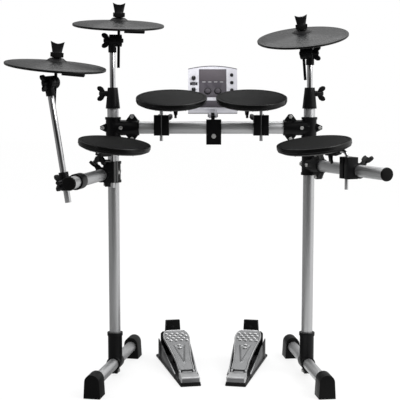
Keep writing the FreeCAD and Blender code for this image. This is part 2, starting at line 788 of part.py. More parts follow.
def pad_pan(forward, shift, corner_side):
    # pan with its bracket; the bracket's bore lies along x through the origin
    middle = at(-shift * corner_side, -forward)
    radius = cell.pad_diameter / 2 - cell.pad_pan_inset
    floor = cell.pad_top - cell.pad_head_thickness - cell.pad_pan_height
    rim = cell.pad_top - cell.pad_head_thickness
    wall = cell.pad_pan_wall
    floor_radius = cell.pad_pan_floor_diameter / 2
    shoulder = floor + cell.pad_pan_shoulder
    pan = turned([(0, floor), (floor_radius, floor), (radius, shoulder), (radius, rim), (radius - wall, rim),
                  (radius - wall, shoulder + wall), (floor_radius - wall, floor + wall), (0, floor + wall)])
    pan.Placement = middle
    bracket_height = floor + wall / 2 + cell.bracket_drop
    bracket = block(cell.bracket_length, cell.bracket_width, bracket_height, at(z=-cell.bracket_drop))
    rod_length = cell.bracket_length + cell.overrun * 2
    bore = cell.pad_rod_diameter + cell.running_fit * 2
    rod_hole = cylinder(bore, rod_length, at(-rod_length / 2, rotation=lie_along_x))
    screw_place = at(-cell.bracket_screw_shift * corner_side, 0, -cell.bracket_drop - cell.overrun)
    screw_hole = cylinder(screw_bore, cell.bracket_drop + cell.overrun, screw_place)
    jack_place = at(-cell.bracket_length * corner_side / 2, -cell.bracket_width / 4, floor / 2)
    jack = cylinder(cell.jack_bore, cell.jack_depth * 2, jack_place * at(-cell.jack_depth, rotation=lie_along_x))
    sensor_height = cell.pad_pan_height - wall
    sensor = cylinder(cell.pad_sensor_diameter, sensor_height, middle * at(z=floor + wall))
    return cut(fuse(pan, bracket), rod_hole, screw_hole, jack), sensor


def pad_head(forward, shift, corner_side):
    radius = cell.pad_diameter / 2
    foot = cell.pad_top - cell.pad_head_thickness
    bevel = cell.pad_head_bevel
    head = turned([(0, foot), (radius, foot), (radius, cell.pad_top - bevel), (radius - bevel, cell.pad_top),
                   (0, cell.pad_top)])
    head.Placement = at(-shift * corner_side, -forward)
    return head


def make_pads():
    clamps = []
    clamp_screws = []
    for name, pad in pads.items():
        side = pad["corner_side"]
        clamps.append(copy(pad_clamp(pad["tube"], pad["boss_side"]), pad["clamp"]))
        clamp_screw = wing_bolt(cell.pad_clamp_boss_reach - pad["tube"] / 2)
        screw_place = pad_clamp_boss(pad["boss_side"]) * at(z=cell.pad_clamp_boss_reach)
        clamp_screws.append(copy(clamp_screw, pad["clamp"] * screw_place))

        foot = pad["clamp"].multVec(Vector(0, -float(cell.pad_rod_offset), 0))
        corner = at(foot.x, foot.y, pad["height"], turn(z_axis, pad["swivel"]))
        facing = half_turn if side < 0 else Rotation()
        node(f"{name}_rod", pad_rod(pad["leg_out"], pad["drop"]), corner * at(rotation=facing))

        bracket = corner * at(-pad["leg_out"] * side, rotation=turn(x_axis, pad["tilt"]))
        pan, sensor = pad_pan(pad["forward"], pad["shift"], side)
        screw = wing_bolt(cell.bracket_drop - cell.pad_rod_diameter / 2 - cell.seat_gap)
        screw_turn = turn(x_axis, 180) * turn(z_axis, pad["wing_turn"])
        screw.Placement = at(-cell.bracket_screw_shift * side, 0, -cell.bracket_drop, screw_turn)
        node(f"{name}_shell", group(pan, sensor, screw), bracket)
        head = pad_head(pad["forward"], pad["shift"], side)
        node(f"{name}_head", group(head), bracket)
    return clamps, clamp_screws


def make_hihat_clamp():
    # ring on the arm, sleeve on the leaning rod, a bridge between them and a wing bolt on the sleeve
    ring_length = cell.hihat_ring_length
    arm_place = left_arm * at(hihat_clamp_place)
    ring = cylinder(tube_sleeve, ring_length, arm_place * at(-ring_length / 2, rotation=lie_along_x))
    hole_length = ring_length + cell.overrun * 2
    ring_hole = cylinder(tube_bore, hole_length, arm_place * at(-hole_length / 2, rotation=lie_along_x))
    sleeve_length = cell.hihat_sleeve_length
    sleeve_diameter = rod_bore + cell.clamp_wall * 2
    sleeve = cylinder(sleeve_diameter, sleeve_length, hihat_rod * at(z=-sleeve_length / 2))
    rod_length = sleeve_length + cell.overrun * 2
    rod_hole = cylinder(rod_bore, rod_length, hihat_rod * at(z=-rod_length / 2))
    bridge_place = arm_place * at(rotation=point_forward)
    bridge = cylinder(cell.hihat_bridge_diameter, cell.hihat_rod_offset, bridge_place)
    boss_place = hihat_rod * at(rotation=turn(z_axis, cell.hihat_turn) * turn(y_axis, -90))
    boss_reach = sleeve_diameter / 2 + cell.clamp_wall
    boss = cylinder(cell.boss_diameter, boss_reach, boss_place)
    screw_hole = cylinder(screw_bore, boss_reach + cell.overrun, boss_place)
    clamp = cut(fuse(ring, sleeve, bridge, boss), ring_hole, rod_hole, screw_hole)
    screw = wing_bolt(boss_reach - cell.rod_diameter / 2 - cell.seat_gap)
    return clamp, copy(screw, boss_place * at(z=boss_reach))


hihat_spot = (left_arm * at(hihat_clamp_place)).multVec(Vector(0, -float(cell.hihat_rod_offset), 0))
hihat_rod = at(hihat_spot.x, hihat_spot.y, hihat_spot.z, turn(y_axis, cell.hihat_rod_lean))

# Each cymbal's tilter pivot, the rod's length below it, the side of the tilter's head and the stem's tilt
cymbals = {
    "hihat": dict(
        pivot=hihat_rod * at(z=cell.hihat_pivot_rise, rotation=turn(z_axis, cell.hihat_turn)), head_side=1,
        reach=cell.hihat_pivot_rise + cell.hihat_rod_drop, tilt=cell.hihat_tilt, turn=cell.hihat_turn,
        rise=cell.hihat_stem_rise),
    "crash": dict(
        pivot=left_leg * at(z=crash_pivot_height, rotation=turn(z_axis, cell.crash_turn)), head_side=1,
        reach=crash_pivot_height - leg_top + cell.rod_in_leg, tilt=cell.crash_tilt,
        turn=cell.crash_turn, rise=cell.crash_stem_rise),
    "ride": dict(
        pivot=right_leg * at(z=ride_pivot_height, rotation=turn(z_axis, cell.ride_turn)), head_side=-1,
        reach=ride_pivot_height - leg_top + cell.rod_in_leg, tilt=cell.ride_tilt,
        turn=cell.ride_turn, rise=cell.ride_stem_rise),
}


def tilter_base():
    # pivot along x through the origin, the rod comes from below, the head sits on the +x side
    width = cell.tilter_base_width
    disc = cylinder(cell.tilter_diameter, width, at(-width / 2, rotation=lie_along_x))
    socket = cylinder(cell.tilter_socket_diameter, cell.tilter_socket_depth, at(z=-cell.tilter_socket_depth))
    rod_depth = cell.tilter_socket_depth - cell.tilter_rod_stop
    rod_place = at(z=-cell.tilter_socket_depth - cell.overrun)
    rod_hole = cylinder(cell.rod_diameter + cell.fit * 2, rod_depth + cell.overrun, rod_place)
    bore_length = width + cell.overrun * 2
    bore_diameter = cell.tilter_bolt_diameter + cell.fit * 2
    bore = cylinder(bore_diameter, bore_length, at(-bore_length / 2, rotation=lie_along_x))
    relief_foot = cell.tilter_diameter / 2 + cell.tilter_relief
    relief_place = at(width / 2 + cell.tilter_diameter / 2, 0, -relief_foot)
    relief = block(cell.tilter_diameter, cell.tilter_diameter, cell.tilter_diameter, relief_place)
    return cut(fuse(disc, socket), rod_hole, bore, relief)


def tilter_bolt():
    # wings on the -x side, nut past the head on the +x side
    width = cell.tilter_base_width
    grip = width + cell.tilter_gap * 2 + cell.tilter_head_width
    shank = cylinder(cell.tilter_bolt_diameter, grip, at(-width / 2, rotation=lie_along_x))
    nut_place = at(grip - width / 2, rotation=lie_along_x)
    nut = hexagon(cell.tilter_nut_diameter, cell.tilter_nut_height, nut_place)
    outwards = at(-width / 2, rotation=turn(y_axis, -90))
    hub = cone(cell.wing_hub_diameter, cell.wing_hub_tip_diameter, cell.wing_height * 3 / 4, outwards)
    wing = wings(wing_shares, cell.wing_span, cell.wing_height, cell.wing_thickness)
    wing.Placement = outwards
    return fuse(shank, nut, hub, wing)


def tilter_head():
    start = cell.tilter_base_width / 2 + cell.tilter_gap
    disc = cylinder(cell.tilter_diameter, cell.tilter_head_width, at(start, rotation=lie_along_x))
    bore_diameter = cell.tilter_bolt_diameter + cell.running_fit * 2
    bore_place = at(start - cell.overrun, rotation=lie_along_x)
    bore = cylinder(bore_diameter, cell.tilter_head_width + cell.overrun * 2, bore_place)
    stem_place = at(stem_out(), -cell.stem_front, -cell.tilter_diameter)
    stem_hole = cylinder(cell.stem_diameter + cell.fit * 2, cell.tilter_diameter * 2, stem_place)
    return cut(disc, bore, stem_hole)


def stem_out():
    return cell.tilter_base_width / 2 + cell.tilter_gap + cell.tilter_head_width / 2


def crown_slope(radius):
    # drop of the cymbal's cone below its crown at a radius
    crown = cell.cymbal_crown_diameter / 2
    return cell.cymbal_rise * ((radius - crown) / (cell.cymbal_diameter / 2 - crown))


def cymbal_under():
    # height of the shell's underside at the crown, above the rim
    return cell.cymbal_rise - cell.cymbal_skin - cell.cymbal_layer_gap - cell.cymbal_shell_thickness


def cymbal_skin():
    # rubber skin, its axis through the bell, the disc's middle in front of the bell
    crown = cell.cymbal_crown_diameter / 2
    radius = cell.cymbal_diameter / 2
    lip = cell.cymbal_lip
    top = cell.cymbal_rise
    skin = turned([(0, top - cell.cymbal_skin), (crown, top - cell.cymbal_skin),
                   (radius - lip, -cell.cymbal_skin), (radius, lip - cell.cymbal_skin), (radius, -lip),
                   (radius - lip, 0), (crown, top), (0, top)])
    skin.Placement = at(0, -cell.bell_offset)
    hole = cylinder(cell.bell_diameter + cell.fit * 4, cell.cymbal_rise * 3, at(z=-cell.cymbal_rise))
    return cut(skin, hole)


def cymbal_shell():
    crown = cell.cymbal_crown_diameter / 2
    radius = cell.cymbal_shell_diameter / 2
    top = cell.cymbal_rise - cell.cymbal_skin - cell.cymbal_layer_gap
    edge = top - crown_slope(radius)
    under = cymbal_under()
    plate = turned([(0, under), (crown, under), (radius, edge - cell.cymbal_shell_thickness),
                    (radius, edge), (crown, top), (0, top)])
    plate.Placement = at(0, -cell.bell_offset)
    bell_foot = cymbal_under()
    bell_rise = cell.cymbal_rise - bell_foot + cell.bell_height
    collar = cylinder(cell.bell_diameter, cell.cymbal_rise - bell_foot, at(z=bell_foot))
    dome = cone(cell.bell_diameter, cell.bell_top_diameter, cell.bell_height, at(z=cell.cymbal_rise))
    housing_place = at(cell.housing_start + cell.housing_length / 2, 0, top - cell.housing_depth)
    box = block(cell.housing_length, cell.housing_width, cell.housing_depth, housing_place)
    above = turned([(0, top), (crown, top), (radius, edge), (radius, top + cell.housing_depth),
                    (0, top + cell.housing_depth)])
    above.Placement = plate.Placement
    housing = cut(box, above)
    jack_place = at(cell.housing_start + cell.housing_length - cell.jack_depth, 0, top - cell.housing_depth / 2)
    jack = cylinder(cell.jack_bore, cell.jack_depth * 2, jack_place * at(rotation=lie_along_x))
    hole = cylinder(cell.cymbal_hole, bell_rise + cell.overrun * 2, at(z=bell_foot - cell.overrun))
    return cut(fuse(plate, collar, dome, housing), hole, jack)


def cymbal_stem(rise):
    # stem with its cup below the cymbal and its felt above the bell, standing on the tilter's head
    bell_top = rise + cell.cymbal_rise + cell.bell_height
    felt_foot = bell_top + cell.rock_gap
    top = felt_foot + cell.felt_height + cell.nut_height * cell.stem_above_nut_share
    stem = cylinder(cell.stem_diameter, cell.stem_drop + top, at(z=-cell.stem_drop))
    bore = cell.stem_diameter + cell.fit * 2
    felt_cone = cone(cell.felt_foot_diameter, cell.felt_diameter, cell.felt_chamfer, at(z=felt_foot))
    felt_body = cylinder(cell.felt_diameter, cell.felt_height - cell.felt_chamfer,
                         at(z=felt_foot + cell.felt_chamfer))
    felt = cut(fuse(felt_cone, felt_body), cylinder(bore, bell_top, at(z=rise)))
    cup_top = rise + cymbal_under() - cell.rock_gap
    neck = cylinder(cell.cup_diameter, cell.cup_neck, at(z=cup_top - cell.cup_neck))
    flange = cylinder(cell.cup_flange_diameter, cell.cup_height - cell.cup_neck, at(z=cup_top - cell.cup_height))
    cup = cut(fuse(neck, flange), cylinder(bore, bell_top, at()))
    return [stem, felt, cup], felt_foot + cell.felt_height + cell.nut_gap


def cymbal_wing_nut():
    hub = cone(cell.nut_base_diameter, cell.nut_tip_diameter, cell.nut_height * 3 / 5)
    wing = wings(nut_shares, cell.nut_span, cell.nut_height, cell.nut_thickness)
    bore = cell.stem_diameter + cell.running_fit * 2
    return cut(fuse(hub, wing), cylinder(bore, cell.nut_height * 2, at(z=-cell.nut_height / 2)))


def make_cymbals():
    for name, cymbal in cymbals.items():
        facing = half_turn if cymbal["head_side"] < 0 else Rotation()
        pivot = cymbal["pivot"]
        rod = tube(cell.rod_diameter, cell.rod_wall, cymbal["reach"] - cell.tilter_rod_stop)
        node(f"{name}_rod", rod, pivot * at(z=-cymbal["reach"]))
        node(f"{name}_tilter", group(tilter_base(), tilter_bolt()), pivot * at(rotation=facing))

        tilted = pivot * at(rotation=turn(x_axis, cymbal["tilt"]))
        foot = at(stem_out() * cymbal["head_side"], -cell.stem_front)
        pieces, nut_height = cymbal_stem(cymbal["rise"])
        for piece in pieces:
            piece.Placement = foot * piece.Placement
        head = tilter_head()
        if cymbal["head_side"] < 0:
            head = copy(head, at(rotation=turn(y_axis, 180)))
        node(f"{name}_stem", group(head, *pieces), tilted)

        seat = tilted * foot * at(z=cymbal["rise"], rotation=turn(z_axis, -cymbal["turn"]))
        node(f"{name}_shell", cymbal_shell(), seat)
        node(f"{name}_skin", cymbal_skin(), seat)
        nut_turn = turn(z_axis, -cymbal["turn"])
        node(f"{name}_wing_nut", cymbal_wing_nut(), tilted * foot * at(z=nut_height, rotation=nut_turn))


module_place = rack * at(cell.module_middle, cell.module_front, module_foot, turn(x_axis, -cell.module_lean))
hinge_place = module_place * at(0, cell.hinge_back, -cell.hinge_drop)


def module_outline():
    half = cell.module_width / 2
    arch = cell.module_arch
    centre = cell.module_side_height + arch / 2 - half * half / (arch * 2)
    return [(-half, 0), (half, 0), (half, cell.module_side_height, centre), (-half, cell.module_side_height)]


# Each control: its kind, and its place across and up the module's face
controls = {
    "upper_knob": ("knob", -cell.control_column, cell.upper_knob_height),
    "slide_switch": ("switch", -cell.control_column, cell.switch_place),
    "lower_knob": ("knob", -cell.control_column, cell.lower_knob_height),
    "upper_button": ("button", cell.control_column, cell.upper_button_height),
    "middle_button": ("button", cell.control_column, cell.middle_button_height),
    "lower_button": ("button", cell.control_column, cell.lower_button_height),
    "left_pad_button": ("pad_button", -cell.pad_button_spacing / 2, cell.pad_button_height),
    "right_pad_button": ("pad_button", cell.pad_button_spacing / 2, cell.pad_button_height),
}


def make_control(kind):
    # a cap through the wall and a flange behind it that keeps it in
    proud = {"knob": cell.knob_proud, "button": cell.button_proud, "pad_button": cell.button_proud,
             "switch": cell.switch_proud}[kind]
    if kind == "pad_button":
        proud = proud + cell.panel_thickness
    back = cell.module_wall + cell.control_gap
    length = back + proud
    seat = at(0, back, 0, point_forward)
    flange_place = at(0, back + cell.control_flange_thickness, 0, point_forward)
    if kind == "switch":
        cap = block(cell.switch_width / 2, cell.switch_height, length, seat)
        flange = block(cell.switch_width / 2 + cell.control_flange * 2, cell.switch_height + cell.control_flange * 2,
                       cell.control_flange_thickness, flange_place)
        return fuse(cap, flange)
    diameter = {"knob": cell.knob_diameter, "button": cell.button_diameter,
                "pad_button": cell.pad_button_diameter}[kind]
    cap = cylinder(diameter, length, seat)
    flange = cylinder(diameter + cell.control_flange * 2, cell.control_flange_thickness, flange_place)
    return fuse(cap, flange)


def control_hole(kind):
    depth = cell.module_wall + cell.overrun * 2
    back = at(0, cell.module_wall + cell.overrun, 0, point_forward)
    gap = cell.control_gap * 2
    if kind == "switch":
        return block(cell.switch_width + gap, cell.switch_height + gap, depth, back)
    diameter = {"knob": cell.knob_diameter, "button": cell.button_diameter,
                "pad_button": cell.pad_button_diameter}[kind]
    return cylinder(diameter + gap, depth, back)


def make_module():
    wall = cell.module_wall
    outer = padded("XZ_Plane", module_outline(), cell.module_depth, backwards=True)
    room = block(cell.module_width - wall * 2, cell.module_depth, cell.module_side_height - wall * 2,
                 at(0, wall + cell.module_depth / 2, wall))
    lugs = []
    lug_middle = cell.hinge_tongue_width / 2 + cell.seat_gap + cell.hinge_lug_width / 2
    for side in (-1, 1):
        lug_place = at(lug_middle * side - cell.hinge_lug_width / 2, cell.hinge_back, -cell.hinge_drop, lie_along_x)
        lugs.append(cylinder(cell.hinge_lug_radius * 2, cell.hinge_lug_width, lug_place))
        web_place = at(lug_middle * side, cell.hinge_back, -cell.hinge_drop)
        lugs.append(block(cell.hinge_lug_width, cell.hinge_lug_radius * 2, cell.hinge_drop + wall / 2, web_place))
    pin_length = cell.hinge_tongue_width * 4
    pin_bore = cell.hinge_pin_diameter + cell.running_fit * 2
    pin_place = at(-pin_length / 2, cell.hinge_back, -cell.hinge_drop, lie_along_x)
    pin_hole = cylinder(pin_bore, pin_length, pin_place)
    holes = []
    for kind, across, up in controls.values():
        hole = control_hole(kind)
        hole.Placement = at(across, 0, up) * hole.Placement
        holes.append(hole)
    node("module_case", cut(fuse(outer, *lugs), room, pin_hole, *holes), module_place)

    panel_holes = []
    for kind, across, up in controls.values():
        if kind == "pad_button":
            hole = control_hole(kind)
            hole.Placement = at(across, 0, up) * hole.Placement
            panel_holes.append(hole)
    panel = block(cell.panel_width, cell.panel_thickness, cell.panel_height,
                  at(0, -cell.panel_thickness / 2, cell.panel_foot))
    node("module_panel", cut(panel, *panel_holes), module_place)

    cover = padded("XZ_Plane", module_outline(), cell.module_back_depth, backwards=True)
    cover.Placement = at(0, cell.module_depth)
    post_length = cell.board_post_length
    post_across = cell.module_width / 2 - cell.board_margin * 2
    post_low = cell.board_margin * 2
    post_high = cell.module_side_height - cell.board_margin * 2
    posts = []
    for across in (-post_across, post_across):
        for up in (post_low, post_high):
            posts.append(cylinder(cell.board_post_diameter, post_length, at(across, cell.module_depth, up, point_forward)))
    jack_place = at(0, cell.module_depth + cell.module_back_depth + cell.jack_depth, cell.module_side_height / 2)
    jack = cylinder(cell.jack_bore, cell.jack_depth * 2, jack_place * at(rotation=point_forward))
    board_place = at(0, cell.module_depth - post_length - cell.board_thickness / 2, cell.board_margin)
    board = block(cell.module_width - cell.board_margin * 2, cell.board_thickness,
                  cell.module_side_height - cell.board_margin * 2, board_place)
    node("module_back", group(cut(fuse(cover, *posts), jack), board), module_place)

    for name, (kind, across, up) in controls.items():
        node(name, make_control(kind), module_place * at(across, 0, up))


def make_saddle():
    # inverted U over the crossbar, a cross bolt below the bar, and the tongue of the module's hinge
    place = rack * at(cell.saddle_middle, 0, cell.bar_height)
    bore = cell.bar_diameter + cell.fit * 2
    depth = bore + cell.saddle_side_wall * 2
    body = block(cell.saddle_width, depth, cell.saddle_rise + cell.saddle_drop, place * at(z=-cell.saddle_drop))
    hole_length = cell.saddle_width + cell.overrun * 2
    hole = cylinder(bore, hole_length, place * at(-hole_length / 2, rotation=lie_along_x))
    slot = block(hole_length, bore, cell.saddle_drop + cell.overrun, place * at(z=-cell.saddle_drop - cell.overrun))
    bolt_grip = depth
    bolt_place = place * at(0, -depth / 2, -cell.saddle_bolt_drop, point_forward)
    bolt_hole_diameter = cell.saddle_bolt_diameter + cell.fit * 2
    bolt_hole = cylinder(bolt_hole_diameter, depth * 2, bolt_place * at(z=-depth * 3 / 2))
    tongue = cylinder(cell.hinge_lug_radius * 2, cell.hinge_tongue_width,
                      hinge_place * at(-cell.hinge_tongue_width / 2, rotation=lie_along_x))
    drop = hinge_place.Base.z - place.Base.z
    neck_depth = cell.hinge_lug_radius + as_size(hinge_place.Base.y - place.Base.y)
    neck_middle = place.Base.y + float(neck_depth) / 2
    neck_foot = at(hinge_place.Base.x, neck_middle, place.Base.z + float(cell.saddle_rise) / 2)
    neck_height = as_size(drop) - cell.saddle_rise / 2
    neck = block(cell.hinge_tongue_width, neck_depth, neck_height, neck_foot)
    pin_hole_length = cell.hinge_tongue_width * 2
    pin_hole = cylinder(cell.hinge_pin_diameter + cell.fit * 2, pin_hole_length,
                        hinge_place * at(-pin_hole_length / 2, rotation=lie_along_x))
    clamp = cut(fuse(body, tongue, neck), hole, slot, bolt_hole, pin_hole)
    head = cylinder(cell.saddle_bolt_head_diameter, cell.saddle_bolt_head_height, bolt_place)
    shank = cylinder(cell.saddle_bolt_diameter, bolt_grip, bolt_place * at(z=-bolt_grip))
    nut_place = bolt_place * at(z=-bolt_grip - cell.saddle_bolt_head_height)
    nut = hexagon(cell.saddle_bolt_head_diameter, cell.saddle_bolt_head_height, nut_place)
    pin_grip = cell.hinge_tongue_width + (cell.seat_gap + cell.hinge_lug_width + cell.seat_gap) * 2
    pin = cylinder(cell.hinge_pin_diameter, pin_grip, hinge_place * at(-pin_grip / 2, rotation=lie_along_x))
    heads = []
    for side in (-1, 1):
        out = hinge_place * at(pin_grip * side / 2, rotation=turn(y_axis, 90 * side))
        heads.append(cylinder(cell.hinge_pin_head_diameter, cell.hinge_pin_head_height, out))
    node("module_clamp", group(clamp, fuse(head, shank, nut), fuse(pin, *heads)))


footboard_length = cell.pedal_length - cell.pedal_hinge_place - cell.footboard_inset
wall_length = cell.pedal_length - cell.wall_start - cell.wall_end_inset
tower_place = cell.pedal_length - cell.tower_inset
bumper_place = cell.pedal_length - cell.bumper_inset


def pedal_base():
    # heel at the origin, toe along +y
    half_heel = cell.pedal_heel_width / 2
    half_toe = cell.pedal_toe_width / 2
    plate = padded("XY_Plane", [(-half_heel, 0), (half_heel, 0), (half_toe, cell.pedal_length),
                                (-half_toe, cell.pedal_length)], cell.pedal_plate)
    heel_middle = cell.heel_block_start + cell.heel_block_length / 2
    heel = block(cell.heel_block_width, cell.heel_block_length, cell.heel_block_height,
                 at(0, heel_middle, cell.pedal_plate))
    hinge = at(0, cell.pedal_hinge_place, cell.pedal_hinge_height)
    knuckle_end = hinge * at(-cell.pedal_barrel_length / 2, rotation=lie_along_x)
    knuckle = cylinder(cell.pedal_barrel_diameter, cell.pedal_barrel_length, knuckle_end)
    pillar = block(cell.pedal_barrel_length, cell.pedal_barrel_diameter, cell.pedal_hinge_height,
                   at(0, cell.pedal_hinge_place))
    tongue_length = cell.pedal_hinge_place - heel_middle
    tongue = block(cell.pedal_barrel_length, tongue_length, cell.heel_block_height,
                   at(0, heel_middle + tongue_length / 2, cell.pedal_plate))
    pin_length = cell.pedal_barrel_length + (cell.seat_gap + cell.pedal_ear_width) * 2
    pin_hole_length = pin_length + cell.overrun
    pin_bore = cell.pedal_pin_diameter + cell.fit * 2
    pin_hole = cylinder(pin_bore, pin_hole_length, hinge * at(-pin_hole_length / 2, rotation=lie_along_x))
    pin = cylinder(cell.pedal_pin_diameter, pin_length, hinge * at(-pin_length / 2, rotation=lie_along_x))
    tower = block(cell.tower_width, cell.tower_thickness, cell.tower_height,
                  at(0, tower_place + cell.tower_thickness / 2, cell.pedal_plate))
    shoulder = block(cell.tower_shoulder_width, cell.tower_thickness, cell.tower_shoulder_height,
                     at(0, tower_place + cell.tower_thickness / 2, cell.pedal_plate))
    jack_place = at(0, tower_place + cell.tower_thickness - cell.jack_depth, cell.tower_height / 4)
    jack = cylinder(cell.jack_bore, cell.jack_depth * 2, jack_place * at(rotation=lie_along_y))
    walls = []
    flare = math.degrees(math.atan2(float(cell.wall_end_spread - cell.wall_start_spread) / 2,
                                    float(wall_length)))
    rise = [(0, 0), (wall_length, 0), (wall_length, cell.wall_end_height), (0, cell.wall_start_height)]
    for side in (-1, 1):
        wall = padded("YZ_Plane", rise, cell.wall_thickness, "Symmetric")
        wall.Placement = at(cell.wall_start_spread * side / 2, cell.wall_start, cell.pedal_plate,
                            turn(z_axis, -flare * side))
        walls.append(wall)
    base = cut(fuse(plate, heel, knuckle, pillar, tongue, tower, shoulder, *walls), pin_hole, jack)
    return base, pin


def footboard():
    # hinge at the origin, board along +y
    half = [(cell.footboard_width * across, footboard_length * along) for across, along in footboard_shares]
    board = padded("XY_Plane", both_sides(half), cell.footboard_thickness)
    board.Placement = at(z=cell.footboard_rise)
    heel_end = footboard_length * footboard_shares[1][1] / 2
    ear_width = cell.pedal_ear_width
    ear_middle = cell.pedal_barrel_length / 2 + cell.seat_gap + ear_width / 2
    ears = []
    for side in (-1, 1):
        ears.append(cylinder(cell.pedal_barrel_diameter, ear_width,
                             at(ear_middle * side - ear_width / 2, rotation=lie_along_x)))
        ears.append(block(ear_width, heel_end, cell.footboard_rise + cell.footboard_thickness / 2,
                          at(ear_middle * side, heel_end / 2)))
    bore_length = (cell.pedal_barrel_length + ear_width * 2) * 2
    bore = cylinder(cell.pedal_pin_diameter + cell.running_fit * 2, bore_length,
                    at(-bore_length / 2, rotation=lie_along_x))
    return cut(fuse(board, *ears), bore)


def bumper(board_place):
    # rubber column from the plate up to the footboard, its top cut to the board's slope
    column = cone(cell.bumper_diameter, cell.bumper_top_diameter, cell.tower_height,
                  at(0, bumper_place, cell.pedal_plate))
    above = block(cell.pedal_toe_width, cell.pedal_length * 2, cell.tower_height * 2,
                  board_place * at(z=cell.footboard_rise - cell.seat_gap))
    return cut(column, above)


def make_pedals():
    board_place = at(0, cell.pedal_hinge_place, cell.pedal_hinge_height, turn(x_axis, cell.footboard_angle))
    for name, side in (("hihat_pedal", -1), ("kick_pedal", 1)):
        place = rack * at(cell.module_middle + cell.pedal_spread * side, cell.pedal_heel, 0,
                          turn(z_axis, -cell.pedal_splay * side))
        node(f"{name}_base", group(*pedal_base()), place)
        node(f"{name}_footboard", footboard(), place * board_place)
        node(f"{name}_bumper", bumper(board_place), place)


make_tubes()
make_boots()
make_base_clamps()
make_tee_clamps()
collar_screws = make_collars()
pad_clamps, pad_clamp_screws = make_pads()
hihat_clamp, hihat_screw = make_hihat_clamp()
node("rod_clamps", group(*pad_clamps, hihat_clamp))
node("wing_bolts", group(*collar_screws, *pad_clamp_screws, hihat_screw))
make_cymbals()
make_module()
make_saddle()
make_pedals()

doc.recompute()
broken = [item.Label for item in doc.Objects if "Invalid" in item.State or "Error" in item.State]
if broken:
    raise RuntimeError(f"not built: {broken}")
for item in nodes:
    if item.Shape.isNull() or not item.Shape.isValid():
        raise RuntimeError(f"bad shape: {item.Label}")

os.makedirs("parts", exist_ok=True)
for item in nodes:
    item.Shape.exportStep(f"parts/{item.Label}.step")
whole = Part.Compound([item.Shape for item in nodes]).BoundBox
print(len(nodes), "nodes, box", whole)
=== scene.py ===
import json
import math
from functools import partial

import bmesh
import bpy
from mathutils import Matrix, Vector


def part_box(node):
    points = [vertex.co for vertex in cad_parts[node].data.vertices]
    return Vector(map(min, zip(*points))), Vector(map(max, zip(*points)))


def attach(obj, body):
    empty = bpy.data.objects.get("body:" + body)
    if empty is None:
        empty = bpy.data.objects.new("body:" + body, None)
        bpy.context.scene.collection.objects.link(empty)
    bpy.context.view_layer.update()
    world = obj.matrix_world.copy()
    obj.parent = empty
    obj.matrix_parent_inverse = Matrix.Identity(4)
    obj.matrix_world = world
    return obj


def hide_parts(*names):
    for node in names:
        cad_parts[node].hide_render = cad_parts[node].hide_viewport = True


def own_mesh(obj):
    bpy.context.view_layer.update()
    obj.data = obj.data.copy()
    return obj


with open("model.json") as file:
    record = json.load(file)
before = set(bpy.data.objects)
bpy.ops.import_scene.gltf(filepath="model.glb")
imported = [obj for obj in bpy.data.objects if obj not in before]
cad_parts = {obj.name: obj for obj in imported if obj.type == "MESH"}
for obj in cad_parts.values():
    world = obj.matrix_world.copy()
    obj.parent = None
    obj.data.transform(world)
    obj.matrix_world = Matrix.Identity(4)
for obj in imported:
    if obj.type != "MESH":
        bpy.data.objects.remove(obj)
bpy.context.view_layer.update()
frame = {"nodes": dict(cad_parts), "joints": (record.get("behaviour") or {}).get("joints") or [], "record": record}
scene = bpy.context.scene
scene.view_settings.view_transform = "Standard"
nodes = frame["nodes"]
joints = {joint["name"]: joint for joint in frame["joints"]}
bodies = frame["record"]["behaviour"]["bodies"]
bodyOf = {node: body for body, members in bodies.items() for node in members}
mm = 0.001
hardAngle, softAngle = 32, 40  # edges that turn by more degrees than this stay sharp
weldGap, flatAngle = 0.004, 0.4  # mm and degrees within which points and faces of the solids are joined


class Wire:  # one output socket; sums and products of wires add Math nodes
    def __init__(self, owner, socket):
        self.owner = owner
        self.socket = socket

    def maths(self, operation, first, second=0.0):
        return self.owner.add("ShaderNodeMath", {"operation": operation}, {0: first, 1: second})

    def __add__(self, other):
        return self.maths("ADD", self, other)

    def __radd__(self, other):
        return self.maths("ADD", other, self)

    def __sub__(self, other):
        return self.maths("SUBTRACT", self, other)

    def __rsub__(self, other):
        return self.maths("SUBTRACT", other, self)

    def __mul__(self, other):
        return self.maths("MULTIPLY", self, other)

    def __truediv__(self, other):
        return self.maths("DIVIDE", self, other)

    def __mod__(self, other):
        return self.maths("FLOORED_MODULO", self, other)

    def wave(self):
        return self.maths("SINE", self)

    def size(self):
        return self.maths("ABSOLUTE", self)

    def larger(self, other):
        return self.maths("MAXIMUM", self, other)

    def rounded(self):
        return self.maths("ROUND", self)

    def swing(self, amount):  # from minus to plus half the amount
        return (self - 0.5) * amount

    def blend(self, other, share):  # this share of the wire, and the rest from the other
        return self * share + other * (1 - share)


